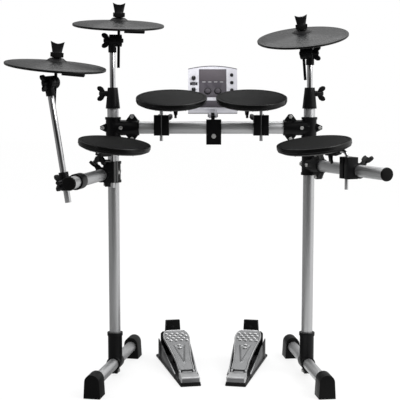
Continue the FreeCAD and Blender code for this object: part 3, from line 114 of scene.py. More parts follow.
class Tree:  # a node tree that is filled node by node
    def __init__(self, tree):
        self.tree = tree

    def add(self, kind, settings=None, sockets=None, out=0):
        node = self.tree.nodes.new(kind)
        for key, value in (settings or {}).items():
            if key == "stops":
                for index, (position, tone) in enumerate(value):
                    stop = node.color_ramp.elements[index]
                    stop.position = position
                    stop.color = tone
            else:
                setattr(node, key, value)
        for key, value in (sockets or {}).items():
            if isinstance(value, Wire):
                self.tree.links.new(value.socket, node.inputs[key])
            else:
                node.inputs[key].default_value = value
        return Wire(self, node.outputs[out] if len(node.outputs) else None)

    def step(self, value, low, high):  # 0 below low, 1 above high
        stops = [(low, (0, 0, 0, 1)), (high, (1, 1, 1, 1))]
        return self.add("ShaderNodeValToRGB", {"stops": stops}, {0: value})

    def mixed(self, factor, first, second):
        return self.add("ShaderNodeMix", {"data_type": "RGBA"}, {0: factor, 6: first, 7: second}, 2)

    def along(self, vector, axis):
        return self.add("ShaderNodeSeparateXYZ", {}, {0: vector}, axis)

    def ray(self, kind):  # 1 for rays of this kind
        return self.add("ShaderNodeLightPath", out=f"Is {kind} Ray")


class Finish(Tree):  # a material
    def __init__(self, name):
        self.material = bpy.data.materials.new(name)
        self.material.use_nodes = True
        super().__init__(self.material.node_tree)
        self.tree.nodes.clear()
        self.place = self.add("ShaderNodeTexCoord", out="Object")

    def stretched(self, scale):
        return self.add("ShaderNodeMapping", {}, {"Vector": self.place, "Scale": scale})

    def noise(self, scale, detail, roughness=0.5, vector=None):
        sockets = {"Vector": vector or self.place, "Scale": scale, "Detail": detail, "Roughness": roughness}
        return self.add("ShaderNodeTexNoise", {}, sockets, "Fac")

    def pebbles(self, scale):
        return self.add("ShaderNodeTexVoronoi", {}, {"Vector": self.place, "Scale": scale}, "Distance")

    def toned(self, share, colour, darkest, palest):
        return self.mixed(share, shade(colour, darkest), shade(colour, palest))

    def bump(self, height, strength, depth):
        sockets = {"Height": height, "Strength": strength, "Distance": depth * mm}
        return self.add("ShaderNodeBump", {}, sockets)

    def surface(self, colour, roughness, normal, **fixed):
        sockets = {"Base Color": colour, "Roughness": roughness, "Normal": normal}
        sockets.update({key.replace("_", " "): value for key, value in fixed.items()})
        return self.close(self.add("ShaderNodeBsdfPrincipled", {}, sockets))

    def close(self, shader):
        self.add("ShaderNodeOutputMaterial", {}, {"Surface": shader})
        return self.material


def shade(colour, factor):
    return tuple(min(1.0, part * factor) for part in colour) + (1.0,)


def pick(look, names):  # several values of a dictionary
    return [look[name] for name in names.split()]


# finishes; noises: scale, detail, roughness; reliefs: strength, depth in mm; tones: darkest, palest
plasticLook = dict(patches=(22, 4), fineDetail=2, patchRough=0.18, fineRough=0.1, depth=0.12)


def mouldedPlastic(name, colour, roughness, grain, relief, spread=0.25, gloss=0.35):
    patchRough, fineRough, depth = pick(plasticLook, "patchRough fineRough depth")
    finish = Finish(name)
    patches = finish.noise(*plasticLook["patches"])
    fine = finish.noise(grain, plasticLook["fineDetail"])
    tone = finish.toned(patches, colour, 1 - spread, 1 + spread)
    rough = roughness + patches.swing(patchRough) + fine.swing(fineRough)
    return finish.surface(tone, rough, finish.bump(fine, relief, depth), Specular_IOR_Level=gloss)


satinLook = dict(along=6, across=900, lines=(1, 5, 0.65), clouds=(9, 4), lineShare=0.6, streak=0.16,
                 paler=0.6, lineRough=0.14, cloudRough=0.1, relief=(0.12, 0.05))


def satinMetal(name, colour, roughness, axis, metal=0.9):  # brushed along one axis
    streak, paler, lineRough, cloudRough = pick(satinLook, "streak paler lineRough cloudRough")
    finish = Finish(name)
    stretch = [satinLook["along" if letter == axis else "across"] for letter in "xyz"]
    lines = finish.noise(*satinLook["lines"], finish.stretched(stretch))
    clouds = finish.noise(*satinLook["clouds"])
    share = lines.blend(clouds, satinLook["lineShare"])
    tone = finish.toned(share, colour, 1 - streak, 1 + streak * paler)
    rough = roughness + lines.swing(lineRough) + clouds.swing(cloudRough)
    return finish.surface(tone, rough, finish.bump(lines, *satinLook["relief"]), Metallic=metal)


polishLook = dict(smudge=(45, 5, 0.6), scuffs=(1, 4, 0.6), stretch=(240, 240, 1600), tones=(0.86, 1.05),
                  smudgeRough=0.1, scuffRough=0.04, relief=(0.05, 0.02))


def polishedMetal(name, colour, roughness):
    finish = Finish(name)
    smudge = finish.noise(*polishLook["smudge"])
    scuffs = finish.noise(*polishLook["scuffs"], finish.stretched(polishLook["stretch"]))
    tone = finish.toned(smudge, colour, *polishLook["tones"])
    rough = roughness + smudge * polishLook["smudgeRough"] + scuffs * polishLook["scuffRough"]
    return finish.surface(tone, rough, finish.bump(scuffs, *polishLook["relief"]), Metallic=1.0)


rubberLook = dict(wear=(16, 5, 0.6), specks=(420, 3), wearShare=0.7, wearRough=0.16, depth=0.15)


def rubber(name, colour, roughness, pebble, relief, dust, gloss):
    finish = Finish(name)
    skin = finish.pebbles(pebble)
    wear = finish.noise(*rubberLook["wear"])
    specks = finish.noise(*rubberLook["specks"])
    tone = finish.toned(wear.blend(specks, rubberLook["wearShare"]), colour, 1 - dust, 1 + dust)
    rough = roughness + wear.swing(rubberLook["wearRough"])
    bump = finish.bump(skin, relief, rubberLook["depth"])
    return finish.surface(tone, rough, bump, Specular_IOR_Level=gloss)


turnedLook = dict(wear=(13, 5, 0.62), fine=(900, 2), wearShare=0.65, tones=(0.72, 1.4), wearRough=0.12,
                  ringRough=0.05, ringShare=0.8, relief=(0.5, 0.26))


def turnedRubber(name, colour, roughness, pitch, gloss):  # fine rings, from the radius kept in the UV map
    wearRough, ringRough = pick(turnedLook, "wearRough ringRough")
    finish = Finish(name)
    radius = finish.along(finish.add("ShaderNodeTexCoord", out="UV"), "Y")
    rings = (radius * (math.tau / pitch)).wave() * 0.5 + 0.5
    wear = finish.noise(*turnedLook["wear"])
    fine = finish.noise(*turnedLook["fine"])
    tone = finish.toned(wear.blend(fine, turnedLook["wearShare"]), colour, *turnedLook["tones"])
    rough = roughness + wear.swing(wearRough) + rings.swing(ringRough)
    bump = finish.bump(rings.blend(fine, turnedLook["ringShare"]), *turnedLook["relief"])
    return finish.surface(tone, rough, bump, Specular_IOR_Level=gloss)


feltLook = dict(fibres=(1100, 6, 0.7), tufts=(240, 4), tones=(0.5, 1.7), fibreShare=0.6, relief=(0.7, 0.5),
                roughness=0.95, tuftRough=0.08, gloss=0.1)


def pressedFelt(name, colour):
    roughness, tuftRough, gloss = pick(feltLook, "roughness tuftRough gloss")
    finish = Finish(name)
    fibres = finish.noise(*feltLook["fibres"])
    tufts = finish.noise(*feltLook["tufts"])
    tone = finish.toned(fibres, colour, *feltLook["tones"])
    bump = finish.bump(fibres.blend(tufts, feltLook["fibreShare"]), *feltLook["relief"])
    return finish.surface(tone, roughness - tufts * tuftRough, bump, Specular_IOR_Level=gloss)


sprayLook = dict(flakes=(2600, 1), clouds=(18, 3), paler=0.5, cloudRough=0.1, flakeRough=0.12,
                 relief=(0.08, 0.05), coat=0.1)


def sprayedCase(name, colour, roughness, flake=0.12, metal=0.25):
    paler, cloudRough, flakeRough = pick(sprayLook, "paler cloudRough flakeRough")
    finish = Finish(name)
    flakes = finish.noise(*sprayLook["flakes"])
    clouds = finish.noise(*sprayLook["clouds"])
    tone = finish.toned(flakes, colour, 1 - flake, 1 + flake * paler)
    rough = roughness + clouds.swing(cloudRough) + flakes.swing(flakeRough)
    bump = finish.bump(flakes, *sprayLook["relief"])
    return finish.surface(tone, rough, bump, Metallic=metal, Coat_Weight=sprayLook["coat"])


castLook = dict(grain=(750, 4, 0.6), patches=(30, 5, 0.6), grainShare=0.4, tones=(0.8, 1.16), patchRough=0.2,
                grainRough=0.1, depth=0.15)


def castMetal(name, colour, roughness, relief, metal=0.75):
    patchRough, grainRough, depth = pick(castLook, "patchRough grainRough depth")
    finish = Finish(name)
    grain = finish.noise(*castLook["grain"])
    patches = finish.noise(*castLook["patches"])
    tone = finish.toned(grain.blend(patches, castLook["grainShare"]), colour, *castLook["tones"])
    rough = roughness + patches.swing(patchRough) + grain.swing(grainRough)
    return finish.surface(tone, rough, finish.bump(grain, relief, depth), Metallic=metal)


smokeLook = dict(haze=(28, 4), dust=(1700, 2), tones=(0.85, 1.15), hazeRough=0.1, dustRough=0.06,
                 relief=(0.04, 0.03), coat=0.2)


def smokedPlate(name, colour, roughness):
    finish = Finish(name)
    haze = finish.noise(*smokeLook["haze"])
    dust = finish.noise(*smokeLook["dust"])
    tone = finish.toned(haze, colour, *smokeLook["tones"])
    rough = roughness + haze * smokeLook["hazeRough"] + dust * smokeLook["dustRough"]
    bump = finish.bump(dust, *smokeLook["relief"])
    return finish.surface(tone, rough, bump, Coat_Weight=smokeLook["coat"])


finishes = {material.name: material for material in (
    # one satin tube metal in three tones: the legs and the long tubes are made lighter than the crossbar as
    # painted light, for how brightly each run of tube is lit
    satinMetal("legTube", (0.64, 0.645, 0.65), 0.36, "z"),
    satinMetal("crossTube", (0.56, 0.565, 0.57), 0.42, "x", 0.7),
    satinMetal("longTube", (0.62, 0.625, 0.63), 0.38, "y"),
    mouldedPlastic("clampBlack", (0.0035, 0.0035, 0.004), 0.34, 1500, 0.2, 0.3, 0.2),
    mouldedPlastic("wingBlack", (0.004, 0.004, 0.0045), 0.36, 900, 0.25, 0.3, 0.3),
    mouldedPlastic("shellBlack", (0.003, 0.003, 0.0035), 0.42, 700, 0.4, 0.3, 0.22),
    polishedMetal("stemBlack", (0.012, 0.012, 0.013), 0.3),
    castMetal("boltZinc", (0.52, 0.52, 0.51), 0.36, 0.1, 0.55),
    polishedMetal("rodChrome", (0.80, 0.80, 0.81), 0.06),
    rubber("bootRubber", (0.003, 0.003, 0.003), 0.42, 900, 0.25, 0.35, 0.14),
    rubber("padRubber", (0.0045, 0.0047, 0.0047), 0.68, 1500, 0.4, 0.3, 0.12),
    # glossy edge rubber, darker than the heads: its darker colour is painted shade on the pad sides and on the
    # cymbal skins' rolled lips
    rubber("padEdge", (0.0022, 0.0022, 0.0022), 0.24, 1500, 0.15, 0.3, 0.3),
    turnedRubber("cymbalRubber", (0.013, 0.0134, 0.0142), 0.27, 1.6 * mm, 0.26),
    pressedFelt("feltBlack", (0.006, 0.006, 0.006)),
    sprayedCase("caseSilver", (0.86, 0.855, 0.92), 0.42, 0.06, 0.0),
    sprayedCase("caseGrey", (0.20, 0.195, 0.22), 0.45),
    smokedPlate("panelSmoke", (0.070, 0.060, 0.078), 0.34),
    smokedPlate("screenGlass", (0.105, 0.090, 0.106), 0.16),
    sprayedCase("markGrey", (0.60, 0.60, 0.62), 0.5, 0.2, 0.0),
    mouldedPlastic("controlBlack", (0.005, 0.005, 0.006), 0.4, 1200, 0.2),
    mouldedPlastic("controlGrey", (0.16, 0.155, 0.17), 0.45, 1200, 0.2),
    castMetal("boardSilver", (0.245, 0.248, 0.252), 0.3, 0.12, 0.85),
    # brighter, glossier copy of the footboard's cast metal: painted highlight on the board's rim and bumps
    castMetal("rimSilver", (0.52, 0.522, 0.526), 0.2, 0.06, 0.9),
    castMetal("heelSilver", (0.60, 0.605, 0.61), 0.34, 0.25, 0.7),
    # darker copy of the heel metal: painted shade on the heel block's front face
    castMetal("heelDark", (0.20, 0.20, 0.205), 0.45, 0.3),
    sprayedCase("wallPaint", (0.075, 0.075, 0.078), 0.42, 0.3, 0.3),
    castMetal("plateSteel", (0.07, 0.07, 0.073), 0.4, 0.2, 0.6),
    rubber("treadBlack", (0.004, 0.004, 0.004), 0.5, 700, 0.3, 0.35, 0.25),
)}
print("finishes made:", len(finishes))


class Growth(Tree):  # a Geometry Nodes tree for what repeats
    def __init__(self, name):
        super().__init__(bpy.data.node_groups.new(name, "GeometryNodeTree"))
        self.entry = self.tree.nodes.new("NodeGroupInput")
        self.values = {}

    def ask(self, name, kind, value):  # a named input and the value that it gets
        socket = self.tree.interface.new_socket(name, in_out="INPUT", socket_type="NodeSocket" + kind)
        self.values[socket.identifier] = value
        return Wire(self, next(item for item in self.entry.outputs if item.identifier == socket.identifier))

    def lengths(self, name, values):  # a named input for three lengths in mm
        return self.ask(name, "Vector", [part * mm for part in values])

    def grown(self, instances, finishName, place):
        self.tree.interface.new_socket("Geometry", in_out="OUTPUT", socket_type="NodeSocketGeometry")
        solid = self.add("GeometryNodeRealizeInstances", {}, {0: instances})
        finish = self.ask("Finish", "Material", finishes[finishName])
        painted = self.add("GeometryNodeSetMaterial", {}, {"Geometry": solid, "Material": finish})
        self.add("NodeGroupOutput", {}, {0: painted})
        holder = bpy.data.objects.new(self.tree.name, bpy.data.meshes.new(self.tree.name))
        scene.collection.objects.link(holder)
        modifier = holder.modifiers.new("growth", "NODES")
        modifier.node_group = self.tree
        for identifier, value in self.values.items():
            modifier[identifier] = value
        graph = bpy.context.evaluated_depsgraph_get()
        mesh = bpy.data.meshes.new_from_object(holder.evaluated_get(graph))
        holder.modifiers.remove(modifier)
        bpy.data.objects.remove(holder)
        mesh.transform(place)
        return mesh


def ribRing(name, look, finishName, place):  # bars that stand round a ring, each pointing outwards
    grow = Growth(name)
    sockets = {"Vertices": grow.ask("Count", "Int", look["count"]),
               "Radius": grow.ask("Radius", "Float", look["radius"] * mm)}
    points = grow.add("GeometryNodeMeshCircle", {}, sockets)
    bar = grow.add("GeometryNodeMeshCube", {}, {"Size": grow.lengths("Bar", look["bar"])})
    outwards = grow.add("GeometryNodeInputPosition")
    facing = grow.add("FunctionNodeAlignRotationToVector", {"axis": "X"}, {"Vector": outwards})
    sockets = {"Points": points, "Instance": bar, "Rotation": facing}
    return grow.grown(grow.add("GeometryNodeInstanceOnPoints", {}, sockets), finishName, place)


def barRow(name, look, finishName, place):  # equal bars along a line
    grow = Growth(name)
    sockets = {"Count": grow.ask("Count", "Int", look["count"]),
               "Start Location": grow.lengths("Start", look["start"]),
               "Offset": grow.lengths("Step", look["step"])}
    points = grow.add("GeometryNodeMeshLine", {}, sockets)
    bar = grow.add("GeometryNodeMeshCube", {}, {"Size": grow.lengths("Bar", look["bar"])})
    spread = grow.add("GeometryNodeInstanceOnPoints", {}, {"Points": points, "Instance": bar})
    return grow.grown(spread, finishName, place)


def bumpField(name, look, finishName, place):  # oval bumps in staggered rows
    grow = Growth(name)
    across = grow.ask("Pitch across", "Float", look["across"] * mm)
    rows = grow.ask("Row pitch", "Float", look["rowPitch"] * mm)
    sockets = {"Size X": across * (look["columns"] - 1.0), "Size Y": rows * (look["rows"] - 1.0),
               "Vertices X": grow.ask("Columns", "Int", look["columns"]),
               "Vertices Y": grow.ask("Rows", "Int", look["rows"])}
    grid = grow.add("GeometryNodeMeshGrid", {}, sockets)
    spot = grow.add("GeometryNodeInputPosition")
    odd = (grow.along(spot, "Y") / rows + 10.5).rounded() % 2.0  # 0 and 1 in turn, row by row
    shift = grow.add("ShaderNodeCombineXYZ", {}, {"X": (odd - 0.5) * 0.5 * across})
    moved = grow.add("GeometryNodeSetPosition", {}, {"Geometry": grid, "Offset": shift})
    segments, rings = look["ball"]
    ball = grow.add("GeometryNodeMeshUVSphere", {}, {"Segments": segments, "Rings": rings, "Radius": 0.5})
    sockets = {"Points": moved, "Instance": ball, "Scale": grow.lengths("Bump", look["bump"])}
    return grow.grown(grow.add("GeometryNodeInstanceOnPoints", {}, sockets), finishName, place)


def withFinishes(mesh, *names):
    for name in names:
        mesh.materials.append(finishes[name])
    return mesh


def addPiece(name, mesh, body, replaced=(), angle=hardAngle):  # a mesh that has its finishes
    mesh.shade_smooth()
    mesh.set_sharp_from_angle(angle=math.radians(angle))
    piece = bpy.data.objects.new(name, mesh)
    scene.collection.objects.link(piece)
    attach(piece, body)
    if replaced:
        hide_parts(*replaced)
    return piece


def meshOf(shape, name, place=None):
    if place:
        shape.transform(place)
    mesh = bpy.data.meshes.new(name)
    shape.to_mesh(mesh)
    shape.free()
    return mesh


def cleanCopy(nodeName):  # the node's triangles welded, with flat faces joined up
    shape = bmesh.new()
    shape.from_mesh(nodes[nodeName].data)
    bmesh.ops.remove_doubles(shape, verts=shape.verts, dist=weldGap * mm)
    limit = math.radians(flatAngle)
    bmesh.ops.dissolve_limit(shape, angle_limit=limit, verts=shape.verts, edges=shape.edges)
    return shape


def islands(shape):  # the faces of each separate solid
    found, seen = [], set()
    for first in shape.faces:
        if first in seen:
            continue
        seen.add(first)
        stack, group = [first], []
        while stack:
            face = stack.pop()
            group.append(face)
            for edge in face.edges:
                for other in edge.link_faces:
                    if other not in seen:
                        seen.add(other)
                        stack.append(other)
        found.append(group)
    return found


def baked(mesh, modifiers):  # runs modifiers on a mesh and gives the plain result
    holder = bpy.data.objects.new("holder", mesh)
    scene.collection.objects.link(holder)
    for kind, settings in modifiers:
        modifier = holder.modifiers.new(kind, kind)
        for key, value in settings.items():
            setattr(modifier, key, value)
    graph = bpy.context.evaluated_depsgraph_get()
    result = bpy.data.meshes.new_from_object(holder.evaluated_get(graph))
    bpy.data.objects.remove(holder)
    return result


def rounding(width, segments=2, angle=34):
    return ("BEVEL", {"width": width * mm, "segments": segments, "limit_method": "ANGLE",
                      "angle_limit": math.radians(angle), "use_clamp_overlap": True,
                      "miter_outer": "MITER_ARC"})


def addDressed(nodeName, shape, edge, segments, *names):  # a node's look, with broken edges and finishes
    name = nodeName + "Look"
    mesh = baked(withFinishes(meshOf(shape, name), *names), [rounding(edge, segments)])
    return addPiece(name, mesh, bodyOf[nodeName], [nodeName])


def dress(nodeName, finishName, edge, segments=2):  # the node's own shape in one finish
    return addDressed(nodeName, cleanCopy(nodeName), edge, segments, finishName)


def dressIslands(nodeName, choose, edge):  # as dress, with a finish for each separate solid
    shape = cleanCopy(nodeName)
    names = []
    for group in islands(shape):
        points = [vert.co for face in group for vert in face.verts]
        low = Vector([min(point[axis] for point in points) for axis in range(3)])
        high = Vector([max(point[axis] for point in points) for axis in range(3)])
        name = choose((low + high) / 2, high - low)
        if name not in names:
            names.append(name)
        for face in group:
            face.material_index = names.index(name)
    return addDressed(nodeName, shape, edge, 2, *names)


def addJoined(name, parts, body, replaced=(), angle=hardAngle):  # (mesh, finish names) parts in one
    shape = bmesh.new()
    names = []
    for mesh, *choices in parts:
        names += [choice for choice in choices if choice not in names]
        start = len(shape.faces)
        shape.from_mesh(mesh)
        shape.faces.ensure_lookup_table()
        for face in shape.faces[start:]:  # a face's index picks its finish
            face.material_index = names.index(choices[min(face.material_index, len(choices) - 1)])
    return addPiece(name, withFinishes(meshOf(shape, name), *names), body, replaced, angle)


def plate(outline, low, high, edge, place, segments=2):  # an outline in mm, raised from low to high
    shape = bmesh.new()
    rows = [[shape.verts.new((x * mm, y * mm, z * mm)) for x, y in outline] for z in (low, high)]
    shape.faces.new(rows[0])
    shape.faces.new(rows[1])
    for index in range(len(outline)):
        after = (index + 1) % len(outline)
        shape.faces.new((rows[0][index], rows[0][after], rows[1][after], rows[1][index]))
    bmesh.ops.recalc_face_normals(shape, faces=shape.faces)
    mesh = meshOf(shape, "plate", place)
    return baked(mesh, [rounding(edge, segments)]) if edge else mesh


def oblong(width, depth, middle=(0, 0)):
    x, y = middle
    return [(x - width / 2, y - depth / 2), (x + width / 2, y - depth / 2),
            (x + width / 2, y + depth / 2), (x - width / 2, y + depth / 2)]


def softened(outline, radius, steps=5):  # an outline with its corners rounded
    result = []
    for index, corner in enumerate(outline):
        here = Vector(corner)
        before = (Vector(outline[index - 1]) - here).normalized()
        after = (Vector(outline[(index + 1) % len(outline)]) - here).normalized()
        reach = radius / math.tan(before.angle(after) / 2)
        first, last = here + before * reach, here + after * reach
        for share in (part / steps for part in range(steps + 1)):
            blend = first.lerp(here, share).lerp(here.lerp(last, share), share)
            result.append((blend.x, blend.y))
    return result


def lathe(profile, place, steps=128, edgeLevels=0):  # turns (radius, height) points about z, in mm
    shape = bmesh.new()
    layer = shape.loops.layers.uv.new("radius")
    rows = []
    for radius, height in profile:
        turns = [math.tau * index / steps for index in range(steps)] if radius else [0]
        reach = radius * mm
        spots = [(reach * math.cos(turn), reach * math.sin(turn), height * mm) for turn in turns]
        rows.append([shape.verts.new(spot) for spot in spots])
    for level, (lower, upper) in enumerate(zip(rows, rows[1:])):
        for index in range(steps):
            after = (index + 1) % steps
            corners = [lower[index % len(lower)], lower[after % len(lower)], upper[after % len(upper)],
                       upper[index % len(upper)]]
            corners = list(dict.fromkeys(corners))
            if len(corners) > 2:
                shape.faces.new(corners).material_index = 1 if level < edgeLevels else 0
    bmesh.ops.recalc_face_normals(shape, faces=shape.faces)
    for face in shape.faces:
        for loop in face.loops:
            loop[layer].uv = (0.5, loop.vert.co.xy.length)
    return meshOf(shape, "turned", place)


def frameOf(origin, xAxis, zAxis):
    x = Vector(xAxis).normalized()
    z = Vector(zAxis)
    z = (z - x * z.dot(x)).normalized()
    turn = Matrix((x, z.cross(x), z)).transposed().to_4x4()
    return Matrix.Translation(origin) @ turn


def shifted(x=0.0, y=0.0, z=0.0):
    return Matrix.Translation((x * mm, y * mm, z * mm))


towardX = Matrix.Rotation(math.radians(90), 4, "Y")  # z turned to +x
towardY = Matrix.Rotation(math.radians(-90), 4, "X")  # z turned to +y
towardFront = Matrix.Rotation(math.radians(90), 4, "X")  # z turned to -y
acrossTurn = Matrix(((0, 0, 1, 0), (1, 0, 0, 0), (0, 1, 0, 0), (0, 0, 0, 1)))  # side views: x to y, y to z
socketLook = dict(bore=3.5, nut=5.6, proud=1.6, sunk=0.4, depth=2.4, mouth=1.0, root=0.1, shoulder=0.5,
                  chamfer=0.4, ringSteps=40, holeSteps=32)
screwLook = dict(radius=2.6, dome=((1.0, 0), (1.0, 0.5), (0.8, 1.2), (0.45, 1.5), (0.42, 0.4), (0, 0.4)),
                 steps=28)


def socketRing(place):  # nut and bore of a jack socket, opening along z
    bore, nut, proud, sunk, depth, mouth = pick(socketLook, "bore nut proud sunk depth mouth")
    root, shoulder, chamfer = pick(socketLook, "root shoulder chamfer")
    ring = [(bore + root, -sunk), (nut, -sunk), (nut, proud - shoulder), (nut - chamfer, proud),
            (bore + chamfer, proud), (bore, proud - chamfer), (bore, -sunk)]
    hole = [(0, -depth), (bore, -depth), (bore, mouth)]
    return [(lathe(ring, place, socketLook["ringSteps"]), "boltZinc"),
            (lathe(hole, place, socketLook["holeSteps"]), "controlBlack")]


def screwHead(place):  # domed head with a round socket, facing along z
    dome = [(screwLook["radius"] * share, height) for share, height in screwLook["dome"]]
    return (lathe(dome, place, screwLook["steps"]), "boltZinc")


# rack: finishes and edge radii of its nodes
rackLook = dict(
    dressed=(("leg_tubes", "legTube", 0.4), ("crossbar_tube", "crossTube", 0.4),
             ("base_tubes", "longTube", 0.4), ("arm_tubes", "longTube", 0.4), ("arm_caps", "bootRubber", 1.4),
             ("foot_boots", "bootRubber", 2.6), ("base_clamps", "clampBlack", 0.9),
             ("tee_clamps", "clampBlack", 1.0), ("leg_collars", "clampBlack", 1.0),
             ("rod_clamps", "clampBlack", 1.4), ("wing_bolts", "wingBlack", 1.8)),
    segments=3, saddleEdge=2.2, saddleHeight=40.0, headArea=(70.0, 95.0), headSides=12,
    socket=(2.4, 0.08, 2.0), boltEdge=0.35)
for nodeName, finishName, edge in rackLook["dressed"]:
    dress(nodeName, finishName, edge, rackLook["segments"])


def saddleFinish(centre, size):  # the tall saddle is plastic, its bolts are zinc
    return "clampBlack" if size.z > rackLook["saddleHeight"] * mm else "boltZinc"


def isBoltHead(face):
    smallest, largest = rackLook["headArea"]
    return len(face.verts) > rackLook["headSides"] and smallest < face.calc_area() / mm / mm < largest


dressIslands("module_clamp", saddleFinish, rackLook["saddleEdge"])
bolts = cleanCopy("clamp_bolts")
heads = [face for face in bolts.faces if isBoltHead(face)]
socketInset, socketDraft, socketDepth = (size * mm for size in rackLook["socket"])
bmesh.ops.inset_individual(bolts, faces=heads, thickness=socketInset)
bmesh.ops.inset_individual(bolts, faces=heads, thickness=socketDraft, depth=-socketDepth)
boltMesh = baked(meshOf(bolts, "clampBoltsLook"), [rounding(rackLook["boltEdge"])])
addPiece("clampBoltsLook", withFinishes(boltMesh, "boltZinc"), "rack", ["clamp_bolts"])
print("rack dressed,", len(heads), "bolt sockets")

# drum pads; rim: inset and rise of the points of the head's edge and groove
padLook = dict(
    tilts={"snare": 9.1, "tom_1": 12.7, "tom_2": 12.7, "floor_tom": 9.2}, radius=98.0, top=34.0, foot=23.0,
    rim=((0.0, -2.0), (0.5, -0.8), (1.6, -0.1), (2.6, 0.1), (8.0, 0.1), (8.4, -0.7), (9.6, -0.7), (10.0, 0.0),
         (40.0, 0.1)),
    under=0.8, crown=0.15, edgeLevels=5, sides={"snare": 1, "tom_1": -1, "tom_2": 1, "floor_tom": 1},
    bracket=(36.0, 25.0), floor=14.0, screwRing=79.0, screwSink=0.2, screwTurns=range(30, 390, 60),
    ribs=dict(count=12, radius=66.0, bar=(30.0, 2.2, 2.0)), ribSink=0.9, rodEdge=0.5, shellEdge=0.9)


def headMesh(place):  # rubber playing head
    radius, top, foot, under = pick(padLook, "radius top foot under")
    profile = [(0, foot), (radius - under, foot), (radius, foot + under)]
    profile += [(radius - inset, top + rise) for inset, rise in padLook["rim"]]
    profile.append((0, top + padLook["crown"]))
    # the lowest levels (underside, side and rounded edge) take the darker edge rubber as painted shade
    return withFinishes(lathe(profile, place, edgeLevels=padLook["edgeLevels"]), "padRubber", "padEdge")


for pad, tilt in padLook["tilts"].items():
    dress(pad + "_rod", "rodChrome", padLook["rodEdge"])
    dress(pad + "_shell", "shellBlack", padLook["shellEdge"])
    tiltJoint = joints[pad + "_tilt"]
    tiltAxis = Vector(tiltJoint["axis"])
    up = Matrix.Rotation(math.radians(tilt), 3, tiltAxis) @ Vector((0, 0, 1))
    low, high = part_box(pad + "_head")
    top, foot, floor = pick(padLook, "top foot floor")
    disc = frameOf((low + high) / 2, tiltAxis, up) @ shifted(z=-(top + foot) / 2)
    head = headMesh(disc)
    addPiece(pad + "HeadLook", head, bodyOf[pad + "_head"], [pad + "_head"], softAngle)

    length, width = padLook["bracket"]
    out = -padLook["sides"][pad]
    bracket = frameOf(tiltJoint["pos_m"], tiltAxis, up)
    socketPlace = bracket @ shifted(out * length / 2, -width / 4, floor / 2)
    parts = socketRing(socketPlace @ Matrix.Rotation(math.radians(90 * out), 4, "Y"))
    ribPlace = disc @ shifted(z=floor - padLook["ribSink"])
    parts.append((ribRing(pad + "Ribs", padLook["ribs"], "shellBlack", ribPlace), "shellBlack"))
    screwSpot = shifted(padLook["screwRing"], 0, floor + padLook["screwSink"])
    for turn in padLook["screwTurns"]:
        spot = Matrix.Rotation(math.radians(turn), 4, "Z") @ screwSpot
        parts.append(screwHead(disc @ spot @ Matrix.Rotation(math.pi, 4, "X")))
    addJoined(pad + "PanTrim", parts, bodyOf[pad + "_shell"])
print("pads dressed")

# cymbal pads; lip: inset and height of the rolled edge's points; rim: inset and lift over the slope
cymbalLook = dict(
    radius=127.0, crown=30.0, rise=9.0, skin=3.0, bellOffset=18.0, bellHole=26.9, seat=2.0, jack=(72.0, -9.2),
    lip=((4.0, -2.7), (3.4, -5.0), (1.6, -5.8), (0.4, -5.0), (0.0, -1.8), (0.3, -0.6), (1.2, 0.2)),
    rim=((2.4, 0.3), (9.0, 0.25), (9.6, -0.3), (10.6, -0.3), (11.2, 0.0)), bows=(100, 84, 68, 52, 40, 33),
    crownEdge=(3.0, 0.1), edgeLevels=9, steps=160, drill=(-20.0, 30.0), drillSteps=96, stemLength=120.0,
    feltFrom=10.0, ribs=dict(count=18, radius=80.0, bar=(46.0, 1.8, 2.6)), ribSink=3.6, rodEdge=0.5,
    tilterEdge=0.8, stemEdge=0.7, shellEdge=0.9)
nutLook = dict(foot=12.0, footDepth=10.5, span=17.6, depth=4.2, height=28.0, dip=22.0, rings=48, levels=14,
               widening=1.1, thinning=(1.15, 0.8), squareness=0.75, dipping=1.6, rounding=(0.9, 3, 40),
               angle=50)


def stemFinish(axis, seat, centre, size):  # black stem, felt above the seat, plastic cup below
    if size.length > cymbalLook["stemLength"] * mm:
        return "stemBlack"
    return "feltBlack" if (centre - seat).dot(axis) > cymbalLook["feltFrom"] * mm else "clampBlack"


def skinTop(r):  # height of the skin: level crown, then a straight fall to the rim
    radius, crown, rise = pick(cymbalLook, "radius crown rise")
    return rise - max(0.0, r - crown) * (rise / (radius - crown))


def skinMesh(stemFrame, disc):  # rubber skin with a round hole for the bell
    radius, crown, rise, skin, hole = pick(cymbalLook, "radius crown rise skin bellHole")
    profile = [(0, rise - skin), (crown, rise - skin)]
    profile += [(radius - inset, height) for inset, height in cymbalLook["lip"]]
    profile += [(radius - inset, skinTop(radius - inset) + lift) for inset, lift in cymbalLook["rim"]]
    profile += [(r, skinTop(r)) for r in cymbalLook["bows"]]
    edgeIn, edgeDown = cymbalLook["crownEdge"]
    profile += [(crown, rise - edgeDown), (crown - edgeIn, rise), (0, rise)]
    # the underside and the rolled lip take the darker edge rubber as painted shade under the rim
    mesh = lathe(profile, disc, cymbalLook["steps"], cymbalLook["edgeLevels"])
    low, high = cymbalLook["drill"]
    cutter = lathe([(0, low), (hole, low), (hole, high), (0, high)], stemFrame, cymbalLook["drillSteps"])
    drill = bpy.data.objects.new("drill", cutter)
    scene.collection.objects.link(drill)
    cut = ("BOOLEAN", {"operation": "DIFFERENCE", "object": drill, "solver": "EXACT"})
    mesh = baked(withFinishes(mesh, "cymbalRubber", "padEdge"), [cut])
    bpy.data.objects.remove(drill)
    return mesh


